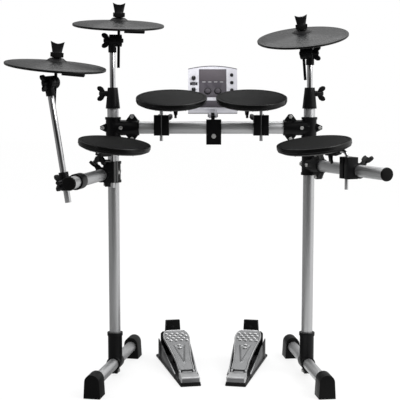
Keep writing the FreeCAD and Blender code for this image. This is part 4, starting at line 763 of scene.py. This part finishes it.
def nutMesh(place):  # wing nut: an oval foot that grows into two flat wings with a dip between them
    foot, footDepth, span, thin = pick(nutLook, "foot footDepth span depth")
    top, dip, rings, levels = pick(nutLook, "height dip rings levels")
    haste, power = nutLook["thinning"]
    shape = bmesh.new()
    rows = []
    for level in range(levels + 1):
        share = level / levels
        half = foot + (span - foot) * share ** nutLook["widening"]
        depth = footDepth + (thin - footDepth) * min(1.0, share * haste) ** power
        row = []
        for turn in (math.tau * index / rings for index in range(rings)):
            x = math.copysign(abs(math.cos(turn)) ** nutLook["squareness"], math.cos(turn)) * half
            height = dip + (top - dip) * (abs(x) / span) ** nutLook["dipping"]
            row.append(shape.verts.new((x * mm, math.sin(turn) * depth * mm, share * height * mm)))
        rows.append(row)
    for lower, upper in zip(rows, rows[1:]):
        for index in range(rings):
            after = (index + 1) % rings
            shape.faces.new((lower[index], lower[after], upper[after], upper[index]))
    shape.faces.new(rows[0])
    last = rows[-1]
    for index in range(rings // 2):
        corners = [last[index], last[index + 1], last[(rings - index - 1) % rings], last[-index]]
        corners = list(dict.fromkeys(corners))
        if len(corners) > 2:
            shape.faces.new(corners)
    bmesh.ops.recalc_face_normals(shape, faces=shape.faces)
    mesh = baked(meshOf(shape, "wingNut", place), [rounding(*nutLook["rounding"])])
    return withFinishes(mesh, "wingBlack")


for cymbal in ("hihat", "crash", "ride"):
    skinName, shellName, nutName = (cymbal + ending for ending in ("_skin", "_shell", "_wing_nut"))
    stemAxis = Vector(joints[cymbal + "_nut_turn"]["axis"])
    rock = joints[cymbal + "_rock"]
    seat = Vector(rock["pos_m"]) - stemAxis * cymbalLook["seat"] * mm
    stemFrame = frameOf(seat, rock["axis"], stemAxis)
    disc = stemFrame @ shifted(y=-cymbalLook["bellOffset"])
    dress(cymbal + "_rod", "rodChrome", cymbalLook["rodEdge"])
    dress(cymbal + "_tilter", "clampBlack", cymbalLook["tilterEdge"])
    dressIslands(cymbal + "_stem", partial(stemFinish, stemAxis, seat), cymbalLook["stemEdge"])
    dress(shellName, "shellBlack", cymbalLook["shellEdge"])
    skin = skinMesh(stemFrame, disc)
    addPiece(cymbal + "SkinLook", skin, bodyOf[skinName], [skinName], softAngle)

    jackOut, jackUp = cymbalLook["jack"]
    parts = socketRing(stemFrame @ shifted(x=jackOut, z=jackUp) @ towardX)
    ribPlace = disc @ shifted(z=-cymbalLook["ribSink"])
    parts.append((ribRing(cymbal + "Ribs", cymbalLook["ribs"], "shellBlack", ribPlace), "shellBlack"))
    addJoined(cymbal + "ShellTrim", parts, bodyOf[shellName])

    low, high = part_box(nutName)
    nutHigh = ((low + high) / 2 - seat).dot(stemAxis) - nutLook["height"] * mm / 2
    nut = nutMesh(frameOf(seat + stemAxis * nutHigh, rock["axis"], stemAxis))
    addPiece(cymbal + "NutLook", nut, bodyOf[nutName], [nutName], nutLook["angle"])
print("cymbals dressed")

# sound module: x across, y into the case, z up its face; a plate is given by its low, high and edge
moduleLook = dict(
    dressed=(("module_case", "caseSilver", 1.4), ("module_back", "caseGrey", 1.6),
             ("module_panel", "panelSmoke", 0.3), ("upper_knob", "controlBlack", 0.6),
             ("lower_knob", "controlBlack", 0.6), ("slide_switch", "controlGrey", 0.5),
             ("upper_button", "controlBlack", 0.9), ("middle_button", "controlBlack", 0.9),
             ("lower_button", "controlBlack", 0.9), ("left_pad_button", "panelSmoke", 0.9),
             ("right_pad_button", "panelSmoke", 0.9)),
    hinge=(14.0, -14.0), depth=32.0, glass=(74.0, 37.0, 107.5, 2.0), glassPlate=(0.9, 1.45, 0.15),
    crest=(142.0, 131.0, 74.5, 10.0), crestBand=2.6, crestPlate=(-2.0, 0.5, 0.2),
    chin=(118.0, 22.0, 15.0), chinCorner=4.0, chinPlate=(-0.2, 0.7, 0.25), padRings=(14.5, -1.0, 56.0),
    ring=((8.2, -0.2), (10.4, -0.2), (10.4, 0.5), (9.9, 0.8), (8.7, 0.8), (8.2, 0.5), (8.2, -0.2)),
    ringSteps=56, screws=(62.0, (10.0, 126.0)), screwSink=0.2,
    sockets=((-44.0, 30.0), (-30.0, 30.0), (30.0, 30.0), (44.0, 30.0), (0.0, 65.0)),
    marks=dict(count=4, start=(-25.5, -1.0, 86.0), step=(17.0, 0.0, 0.0), bar=(9.5, 0.3, 2.0)),
    vents=dict(count=9, start=(-32.0, 32.0, 100.0), step=(8.0, 0.0, 0.0), bar=(3.2, 0.5, 26.0)))
controlLook = dict(
    side=-55.0, knobs={"upper_knob": 97.5, "lower_knob": 60.0}, knobOut=4.6, switchHigh=81.0, switchOut=2.3,
    pointer=(1.0, 4.0, 3.0), pointerPlate=(3.3, 3.62, 0.1),
    flutes=dict(count=20, radius=5.4, bar=(0.7, 0.8, 5.6)),
    ridges=dict(count=4, start=(-3.0, 0.0, 0.0), step=(2.0, 0.0, 0.0), bar=(0.8, 0.6, 7.6)))
inward = Vector(joints["upper_button_press"]["axis"])
moduleTurn = frameOf((0, 0, 0), (1, 0, 0), Vector((1, 0, 0)).cross(inward))
hingeBack, hingeUp = moduleLook["hinge"]
moduleHinge = Matrix.Translation(joints["module_tilt"]["pos_m"])
moduleFace = moduleHinge @ moduleTurn @ shifted(0, -hingeBack, -hingeUp)
for nodeName, finishName, edge in moduleLook["dressed"]:
    dress(nodeName, finishName, edge)


def onFace(outline, low, high, edge):  # a flat plate on the module's face
    return plate(outline, low, high, edge, moduleFace @ towardFront)


def arched(width, height, middle, arch, steps=16):  # an oblong with a bowed top edge
    foot = middle - height / 2
    points = [(-width / 2, foot), (width / 2, foot)]
    for index in range(steps + 1):
        x = width / 2 - width * index / steps
        points.append((x, middle + height / 2 - arch * (2 * x / width) ** 2))
    return points


def moduleTrim():  # grey crest, dark chin, panel marks and button rings; screws, vents and sockets behind
    crest = arched(*moduleLook["crest"])[2:]
    crest += [(x, z - moduleLook["crestBand"]) for x, z in reversed(crest)]
    width, height, middle = moduleLook["chin"]
    chin = softened(oblong(width, height, (0, middle)), moduleLook["chinCorner"])
    marks = barRow("panelMarks", moduleLook["marks"], "markGrey", moduleFace)
    parts = [(onFace(crest, *moduleLook["crestPlate"]), "caseGrey"),
             (onFace(chin, *moduleLook["chinPlate"]), "panelSmoke"), (marks, "markGrey")]
    ringOut, ringBack, ringHigh = moduleLook["padRings"]
    screwOut, screwHighs = moduleLook["screws"]
    depth = moduleLook["depth"]
    screwBack = depth - moduleLook["screwSink"]
    for side in (-1, 1):
        ringPlace = moduleFace @ shifted(ringOut * side, ringBack, ringHigh) @ towardFront
        parts.append((lathe(moduleLook["ring"], ringPlace, moduleLook["ringSteps"]), "controlBlack"))
        for screwHigh in screwHighs:
            parts.append(screwHead(moduleFace @ shifted(screwOut * side, screwBack, screwHigh) @ towardY))
    parts.append((barRow("moduleVents", moduleLook["vents"], "controlBlack", moduleFace), "controlBlack"))
    for x, z in moduleLook["sockets"]:
        parts += socketRing(moduleFace @ shifted(x, depth, z) @ towardY)
    return parts


glass = onFace(arched(*moduleLook["glass"]), *moduleLook["glassPlate"])
addPiece("moduleGlass", withFinishes(glass, "screenGlass"), "module")
addJoined("moduleTrim", moduleTrim(), "module")
for knob, knobHigh in controlLook["knobs"].items():
    place = moduleFace @ shifted(controlLook["side"], -controlLook["knobOut"], knobHigh) @ towardFront
    flutes = ribRing(knob + "Flutes", controlLook["flutes"], "controlBlack", place)
    width, length, middle = controlLook["pointer"]
    pointer = plate(oblong(width, length, (0, middle)), *controlLook["pointerPlate"], place)
    addJoined(knob + "Trim", [(flutes, "controlBlack"), (pointer, "markGrey")], knob)
place = moduleFace @ shifted(controlLook["side"], -controlLook["switchOut"], controlLook["switchHigh"])
ridges = barRow("switchRibs", controlLook["ridges"], "controlBlack", place)
addJoined("switchTrim", [(ridges, "controlBlack")], "slide_switch")
print("module dressed")

# pedals: x across, y from heel to toe, z up
pedalLook = dict(hinge=(66.0, 19.0), slope=16.3, plate=7.0, sunk=0.4, bumper=(232.0, 0.46), bumperEdge=1.0)
boardLook = dict(
    outline=((23.2, 8.2), (23.8, 20.0), (23.9, 36.0), (24.2, 52.0), (27.0, 84.0), (31.6, 124.0),
             (36.4, 158.0), (39.2, 180.0), (39.8, 194.0), (38.6, 208.0), (34.6, 221.0), (28.0, 229.0),
             (22.0, 231.6)),
    top=8.8, foot=4.0, gap=2.8, gapFade=(9.0, 16.0), rim=1.6, rimInset=(2.6, 5.0), rimCells=3, drop=2.2,
    dropInset=1.6, apex=44.0, ribEnd=142.0, ribSpread=16.4, rib=2.0, ribWidth=1.7, sink=0.6, sinkEdge=2.0,
    ribStart=(-0.02, 0.06), ribStop=(0.94, 1.02), ear=(17.4, 23.2), earRadius=7.0, earEdge=0.8,
    earTurns=range(165, 346, 15), rows=170, columns=64,
    earTop=((12.0, 4.0), (14.0, 4.0), (14.0, 9.6), (-1.5, 9.6), (-4.6, 8.0), (-6.4, 5.0)))
bumpLook = dict(columns=4, rows=4, across=16.4, rowPitch=13.0, bump=(13.2, 9.6, 7.6), ball=(20, 12),
                middle=190.0, single=(143.0, 127.0), turns=(0, 0.3, 0.6, 0.9, 1.2, 1.4), steps=32)


def halfWidth(y):  # the footboard's half width, smoothed between the points of its outline
    points = boardLook["outline"]
    index = max(0, min(len(points) - 2, sum(1 for point in points if point[1] <= y) - 1))
    (firstX, firstY), (lastX, lastY) = points[index], points[index + 1]
    before, after = points[max(index - 1, 0)], points[min(index + 2, len(points) - 1)]
    span = lastY - firstY
    rise = (lastX - before[0]) / max(lastY - before[1], 0.001) * span
    fall = (after[0] - firstX) / max(after[1] - firstY, 0.001) * span
    t = (y - firstY) / span
    return ((2 * t ** 3 - 3 * t ** 2 + 1) * firstX + (t ** 3 - 2 * t ** 2 + t) * rise
            + (3 * t ** 2 - 2 * t ** 3) * lastX + (t ** 3 - t ** 2) * fall)


def smooth(low, high, value):
    t = max(0.0, min(1.0, (value - low) / (high - low)))
    return t * t * (3 - 2 * t)


def boardTop(x, y, half):  # raised rim with a rounded edge, and two ribs that open towards the toe
    inset = min(half - abs(x), boardLook["outline"][-1][1] - y)
    z = boardLook["top"] + boardLook["rim"] * (1 - smooth(*boardLook["rimInset"], inset))
    z -= boardLook["drop"] * (1 - smooth(0.0, boardLook["dropInset"], inset)) ** 2
    along = (y - boardLook["apex"]) / (boardLook["ribEnd"] - boardLook["apex"])
    fade = smooth(*boardLook["ribStart"], along) * (1 - smooth(*boardLook["ribStop"], along))
    off = abs(x) - boardLook["ribSpread"] * max(along, 0.0)
    z += boardLook["rib"] * fade * math.exp(-(off / boardLook["ribWidth"]) ** 2)
    return z - boardLook["sink"] * fade * (1 - smooth(-boardLook["sinkEdge"], 0.0, off))


def boardMesh(place):  # cast footboard, a grid above and one below, closed at the sides
    shape = bmesh.new()
    rows, columns, rimCells = pick(boardLook, "rows columns rimCells")
    start, end = boardLook["outline"][0][1], boardLook["outline"][-1][1]
    grids = []
    for upper in (True, False):
        grid = []
        for row in range(rows + 1):
            y = start + (end - start) * row / rows
            half = halfWidth(y)
            under = boardLook["foot"] + boardLook["gap"] * (1 - smooth(*boardLook["gapFade"], y))
            line = []
            for column in range(columns + 1):
                x = half * (2 * column / columns - 1)
                z = boardTop(x, y, half) if upper else under
                line.append(shape.verts.new((x * mm, y * mm, z * mm)))
            grid.append(line)
        for row, (lower, higher) in enumerate(zip(grid, grid[1:])):
            for column in range(columns):
                corners = (lower[column], lower[column + 1], higher[column + 1], higher[column])
                cell = shape.faces.new(corners if upper else corners[::-1])
                # rim cells take the brighter metal as a painted highlight
                atRim = min(column, columns - 1 - column, rows - 1 - row) < rimCells
                cell.material_index = 1 if upper and atRim else 0
        grids.append(grid)
    top, foot = grids
    for row in range(rows):
        shape.faces.new((top[row][0], top[row + 1][0], foot[row + 1][0], foot[row][0]))
        shape.faces.new((top[row + 1][-1], top[row][-1], foot[row][-1], foot[row + 1][-1]))
    for column in range(columns):
        shape.faces.new((top[0][column + 1], top[0][column], foot[0][column], foot[0][column + 1]))
        shape.faces.new((top[-1][column], top[-1][column + 1], foot[-1][column + 1], foot[-1][column]))
    bmesh.ops.recalc_face_normals(shape, faces=shape.faces)
    return meshOf(shape, "board", place)


def arc(middle, radius, turns):  # points round a middle, at turns in degrees
    angles = [math.radians(turn) for turn in turns]
    return [(middle[0] + radius * math.cos(angle), middle[1] + radius * math.sin(angle)) for angle in angles]


def boardParts(name, board):  # footboard with its hinge ears, the field of bumps and two single ones
    parts = [(boardMesh(board), "boardSilver", "rimSilver")]
    ear = arc((0, 0), boardLook["earRadius"], boardLook["earTurns"])  # round under the pin, level above it
    ear += boardLook["earTop"]
    near, far = boardLook["ear"]
    for low, high in ((-far, -near), (near, far)):
        parts.append((plate(ear, low, high, boardLook["earEdge"], board @ acrossTurn), "boardSilver"))
    # the field of bumps and the single bumps below are in the brighter metal, a painted highlight
    fieldPlace = board @ shifted(0, bumpLook["middle"], boardLook["top"])
    parts.append((bumpField(name + "Bumps", bumpLook, "rimSilver", fieldPlace), "rimSilver"))
    wide, deep, tall = bumpLook["bump"]
    dome = [(wide / 2 * math.cos(turn), tall / 2 * math.sin(turn)) for turn in bumpLook["turns"]]
    oval = Matrix.Scale(deep / wide, 4, (0, 1, 0))
    for y in bumpLook["single"]:
        spot = board @ shifted(0, y, boardLook["top"]) @ oval
        parts.append((lathe(dome + [(0, tall / 2)], spot, bumpLook["steps"]), "rimSilver"))
    return parts


soleLook = dict(length=345.0, heelWidth=58.0, toeWidth=100.0, rubber=5.8,
                mat=dict(inset=0.0, cut=(8.0, 8.0), corner=3.0, edge=1.2),
                steel=dict(inset=2.4, cut=(7.0, 6.6), corner=2.4, edge=0.7))


def soleOutline(look):  # the pedal from above, with its toe corners cut off
    inset, (cutAcross, cutAlong), corner = pick(look, "inset cut corner")
    heel, toe = soleLook["heelWidth"] / 2 - inset, soleLook["toeWidth"] / 2 - inset
    end = soleLook["length"] - inset
    outline = [(-heel, inset), (heel, inset), (toe, end - cutAlong), (toe - cutAcross, end),
               (cutAcross - toe, end), (-toe, end - cutAlong)]
    return softened(outline, corner)


def soleParts(base):  # rubber mat and steel plate
    mat, steel, rubberTop = pick(soleLook, "mat steel rubber")
    low, high = rubberTop - pedalLook["sunk"], pedalLook["plate"]
    return [(plate(soleOutline(mat), 0, rubberTop, mat["edge"], base), "treadBlack"),
            (plate(soleOutline(steel), low, high, steel["edge"], base), "plateSteel")]


heelLook = dict(width=54.0, start=3.0, end=55.0, high=26.0, taper=1.5, sunk=0.5, corner=3.2, edge=2.6,
                segments=4, lip=dict(out=1.2, start=1.4, top=11.0, corner=3.6, edge=1.0),
                panel=dict(size=(49.0, 11.0), high=16.6, corner=2.4, proud=0.3, edge=0.25),
                tongue=dict(width=28.0, back=6.0, knuckle=5.4, turns=range(-90, 46, 15), roof=1.0,
                            edge=0.9),
                pin=dict(radius=3.0, length=46.6, chamfer=0.6, steps=32),
                slit=dict(size=(36.0, 1.1), along=43.0, depth=1.0, proud=0.06))


def heelBlock(base):  # block with a rubber lip round its foot, a darker panel over its front face as painted shade, and a black strip on top as a slit's painted shade
    width, start, end, high, taper = pick(heelLook, "width start end high taper")
    lip, panel, slit = pick(heelLook, "lip panel slit")
    half, ground = width / 2, pedalLook["plate"] - heelLook["sunk"]
    block = [(-half, start), (half, start), (half - taper, end), (taper - half, end)]
    blockOutline = softened(block, heelLook["corner"])
    lipMiddle = (0, (end + lip["start"]) / 2)
    lipOutline = softened(oblong(width + 2 * lip["out"], end - lip["start"], lipMiddle), lip["corner"])
    lipFoot = soleLook["rubber"] - pedalLook["sunk"]
    # the front panel's darker metal is painted shade on the block's front face
    panelOutline = softened(oblong(*panel["size"], (0, panel["high"])), panel["corner"])
    front = base @ shifted(0, start, 0) @ towardFront
    # a black strip in place of a groove cut into the top: painted shade
    slitShadeOutline = oblong(*slit["size"], (0, slit["along"]))
    return [(plate(blockOutline, ground, high, heelLook["edge"], base, heelLook["segments"]), "heelSilver"),
            (plate(lipOutline, lipFoot, lip["top"], lip["edge"], base), "treadBlack"),
            (plate(panelOutline, -panel["proud"], panel["proud"], panel["edge"], front), "heelDark"),
            (plate(slitShadeOutline, high - slit["depth"], high + slit["proud"], 0.0, base), "controlBlack")]


def heelHinge(base, hingeFrame):  # pin and a tongue round it, narrow enough to show a dark slit beside it
    tongue, pin = pick(heelLook, "tongue pin")
    hinge, ground, high = pedalLook["hinge"], pedalLook["plate"], heelLook["high"]
    back, half = heelLook["end"] - tongue["back"], tongue["width"] / 2
    side = [(back, ground), (hinge[0], ground)] + arc(hinge, tongue["knuckle"], tongue["turns"])
    side += [(hinge[0] - tongue["roof"], high), (back, high)]
    radius, reach, chamfer = pin["radius"], pin["length"] / 2, pin["chamfer"]
    rim = [(radius - chamfer, reach), (radius, reach - chamfer)]
    profile = [(0, -reach)] + [(r, -along) for r, along in rim] + rim[::-1] + [(0, reach)]
    return [(plate(side, -half, half, tongue["edge"], base @ acrossTurn), "heelSilver"),
            (lathe(profile, hingeFrame @ towardX, pin["steps"]), "controlBlack")]


towerLook = dict(width=48.0, start=316.0, depth=10.0, high=117.0, shoulder=(74.0, 81.0), cut=6.0, taper=2.0,
                 corner=1.6, edge=0.8, eyeDown=22.0, eyeSteps=32, socketHigh=27.5,
                 strip=dict(low=0.4, high=2.2, width=1.0, end=2.0, sunk=1.4, proud=0.25),
                 eye=((2.4, 0), (4.6, 0), (4.6, 0.7), (4.0, 1.0), (2.6, 0.9), (2.4, 0.2), (0, 0.2)))


def towerParts(base):  # tower with shoulders, bright edge strips, an eye in front and a socket behind
    start, depth, high, cut, taper = pick(towerLook, "start depth high cut taper")
    half, wide, shoulder = towerLook["width"] / 2, towerLook["shoulder"][0] / 2, towerLook["shoulder"][1]
    ground = pedalLook["plate"] - pedalLook["sunk"]
    right = [(wide, ground), (wide, shoulder - cut), (wide - cut, shoulder), (half, shoulder),
             (half - taper, high)]
    tower = softened(right + [(-x, z) for x, z in reversed(right)], towerLook["corner"])
    upright = base @ shifted(0, start + depth, 0) @ towardFront
    parts = [(plate(tower, 0, depth, towerLook["edge"], upright), "shellBlack")]
    strip = towerLook["strip"]
    low, top = shoulder + strip["end"], high - strip["end"]
    outer, inner = half - strip["low"], half - strip["high"]
    outline = [(outer - strip["width"], low), (outer, low), (inner, top), (inner - strip["width"], top)]
    back, front = depth - strip["sunk"], depth + strip["proud"]
    for side in (-1, 1):
        parts.append((plate([(side * x, z) for x, z in outline], back, front, 0.0, upright), "boardSilver"))
    eyePlace = upright @ shifted(0, high - towerLook["eyeDown"], depth)
    parts.append((lathe(towerLook["eye"], eyePlace, towerLook["eyeSteps"]), "controlBlack"))
    return parts + socketRing(base @ shifted(0, start + depth, towerLook["socketHigh"]) @ towardY)


wallLook = dict(start=78.0, run=226.0, thick=3.0, near=63.0, far=92.0, lowEnd=8.0, highEnd=58.0, shadedGusset=46.0,
                corner=1.4, edge=0.6, crest=dict(short=4.0, tall=1.0, middle=-0.3, proud=0.3, edge=0.2),
                flange=dict(out=4.6, short=8.0, tall=1.8, middle=1.0, edge=0.5))


def wallParts(base, side):  # one side wall with a bright strip along its top edge as painted highlight, its rear part by the tower painted black as shade, and a flange
    run, near, far, lowEnd, highEnd = pick(wallLook, "run near far lowEnd highEnd")
    corner, edge, crest, flange = pick(wallLook, "corner edge crest flange")
    half, ground = wallLook["thick"] / 2, -pedalLook["sunk"]
    flare = Matrix.Rotation(-math.atan2((far - near) / 2, run) * side, 4, "Z")
    foot = base @ shifted(near * side / 2, wallLook["start"], pedalLook["plate"])
    sideways = foot @ flare @ acrossTurn
    seam = run - wallLook["shadedGusset"]
    seamHigh = lowEnd + (highEnd - lowEnd) * seam / run
    wall = softened([(0, ground), (seam, ground), (seam, seamHigh), (0, lowEnd)], corner)
    # the rear part by the tower is a black plate: painted shade inside the pedal
    shadedGusset = softened([(seam, ground), (run, ground), (run, highEnd), (seam, seamHigh)], corner)
    slant = math.atan2(seamHigh - lowEnd, seam)
    slope = seam / math.cos(slant)
    # a brighter metal strip along the wall's top edge: painted highlight
    highlightPlace = sideways @ shifted(0, lowEnd) @ Matrix.Rotation(slant, 4, "Z")
    highlightStrip = oblong(slope - crest["short"], crest["tall"], (slope / 2, crest["middle"]))
    highlightHalf = half + crest["proud"]
    flangeStrip = oblong(run - flange["short"], flange["tall"], (run / 2, flange["middle"]))
    flangeEnds = sorted((half * side, (half + flange["out"]) * side))
    return [(plate(wall, -half, half, edge, sideways), "wallPaint"),
            (plate(highlightStrip, -highlightHalf, highlightHalf, crest["edge"], highlightPlace), "boardSilver"),
            (plate(shadedGusset, -half, half, edge, sideways), "shellBlack"),
            (plate(flangeStrip, *flangeEnds, flange["edge"], sideways), "wallPaint")]


for pedal in ("hihat_pedal", "kick_pedal"):
    baseName, boardName = pedal + "_base", pedal + "_footboard"
    press = joints[pedal + "_press"]
    hingeAlong, hingeHigh = pedalLook["hinge"]
    hingeFrame = frameOf(press["pos_m"], -Vector(press["axis"]), (0, 0, 1))
    base = hingeFrame @ shifted(0, -hingeAlong, -hingeHigh)
    board = hingeFrame @ Matrix.Rotation(math.radians(pedalLook["slope"]), 4, "X")
    parts = soleParts(base) + heelBlock(base) + heelHinge(base, hingeFrame) + towerParts(base)
    parts += wallParts(base, -1) + wallParts(base, 1)
    addJoined(pedal + "BaseLook", parts, pedal, [baseName])
    addJoined(pedal + "BoardLook", boardParts(pedal, board), boardName, [boardName], softAngle)
    bumper = dress(pedal + "_bumper", "treadBlack", pedalLook["bumperEdge"])
    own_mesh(bumper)
print("pedals dressed")

# studio: paper is the glow's share of the floor, so that the rest keeps the shadows
studio = dict(camera=(2.7, -2693.9, 816.0), pitch=6.2, lens=88.74, sensor=36.0, farthest=60.0, floor=14.0,
              paper=0.74, glow=1.05, even=0.95, fibre=(60, 4), fibreTones=(0.86, 0.9))
cardLook = dict(base=0.32, sides=0.26, right=0.36, above=0.75, front=0.95, floor=0.5, floorRight=0.28,
                floorDark=0.06, floorFrom=(0.06, 0.12), frontFrom=(0.45, 0.85), frontTop=(0.2, 0.5),
                sidesFrom=(0.3, 0.8), aboveFrom=(0.35, 0.9))
lamps = {"keyBox": dict(place=(2.3, -1.4, 2.5), target=(0, 0, 0.6), size=(1.6, 1.6), power=42),
         "topBox": dict(place=(0.2, 1.2, 3.0), target=(0, 0, 0.7), size=(2.2, 1.6), power=22)}
camera = bpy.data.cameras.new("photoCamera")
camera.lens = studio["lens"]
camera.sensor_width = studio["sensor"]
camera.clip_end = studio["farthest"]
scene.camera = bpy.data.objects.new("photoCamera", camera)
scene.camera.location = [part * mm for part in studio["camera"]]
scene.camera.rotation_euler = (math.radians(90 - studio["pitch"]), 0, 0)
scene.collection.objects.link(scene.camera)
for lampName, lamp in lamps.items():
    light = bpy.data.lights.new(lampName, "AREA")
    light.shape = "RECTANGLE"
    light.size, light.size_y = lamp["size"]
    light.energy = lamp["power"]
    aim = Vector(lamp["target"]) - Vector(lamp["place"])
    softBox = bpy.data.objects.new(lampName, light)
    softBox.location = lamp["place"]
    softBox.rotation_euler = aim.to_track_quat("-Z", "Y").to_euler()
    scene.collection.objects.link(softBox)
white = (1, 1, 1, 1)


def floorPaper():  # white to the camera with soft shadows; bright and dark cards in reflections
    paper = Finish("floorPaper")
    fibre = paper.toned(paper.noise(*studio["fibre"]), (1, 1, 1), *studio["fibreTones"])
    matte = paper.add("ShaderNodeBsdfDiffuse", {}, {"Color": fibre})
    glow = paper.add("ShaderNodeEmission", {}, {"Color": white, "Strength": studio["glow"]})
    glowShare = paper.ray("Camera").larger(paper.ray("Transmission")) * studio["paper"]
    direct = paper.add("ShaderNodeMixShader", {}, {0: glowShare, 1: matte, 2: glow})
    distance = paper.add("ShaderNodeVectorMath", {"operation": "LENGTH"}, {0: paper.place}, "Value")
    forward = paper.along(paper.place, "Y") * -1.0
    dark = paper.step(forward / distance, *cardLook["frontFrom"])
    dark *= paper.step(distance / studio["floor"], *cardLook["floorFrom"])
    bright = cardLook["floor"] + paper.along(paper.place, "X") / distance * cardLook["floorRight"]
    tone = paper.mixed(dark, bright, shade((1, 1, 1), cardLook["floorDark"]))
    card = paper.add("ShaderNodeEmission", {}, {"Color": tone})
    shown = paper.add("ShaderNodeMixShader", {}, {0: paper.ray("Glossy"), 1: direct, 2: card})
    return paper.close(shown)


def fillSky(sky):  # white to the camera, even light, and soft boxes at the sides and above in reflections
    direction = sky.add("ShaderNodeTexCoord", out="Generated")
    sideways = sky.along(direction, "X")
    upward = sky.along(direction, "Z")
    front = sky.step(sky.along(direction, "Y") * -1.0, *cardLook["frontFrom"])
    front *= 1.0 - sky.step(upward, *cardLook["frontTop"])
    sides = sky.step(sideways.size(), *cardLook["sidesFrom"])
    above = sky.step(upward, *cardLook["aboveFrom"])
    boxes = cardLook["base"] + sides * cardLook["sides"] + sideways * cardLook["right"]
    boxes = (boxes + above * cardLook["above"]) * (1.0 - front * cardLook["front"])
    even = sky.add("ShaderNodeBackground", {}, {"Color": white, "Strength": studio["even"]})
    cards = sky.add("ShaderNodeBackground", {}, {"Color": boxes, "Strength": 1.0})
    backdrop = sky.add("ShaderNodeBackground", {}, {"Color": white, "Strength": 1.0})
    lit = sky.add("ShaderNodeMixShader", {}, {0: sky.ray("Glossy"), 1: even, 2: cards})
    seen = sky.ray("Camera").larger(sky.ray("Transmission"))
    shown = sky.add("ShaderNodeMixShader", {}, {0: seen, 1: lit, 2: backdrop})
    sky.add("ShaderNodeOutputWorld", {}, {"Surface": shown})


floorMesh = bpy.data.meshes.new("floor")
floorCorners = oblong(2 * studio["floor"], 2 * studio["floor"])
floorMesh.from_pydata([(x, y, 0) for x, y in floorCorners], [], [(0, 1, 2, 3)])
floorMesh.materials.append(floorPaper())
floorSheet = bpy.data.objects.new("floor", floorMesh)
scene.collection.objects.link(floorSheet)
scene.world = bpy.data.worlds.new("studioWorld")
scene.world.use_nodes = True
scene.world.node_tree.nodes.clear()
fillSky(Tree(scene.world.node_tree))
print("studio set")
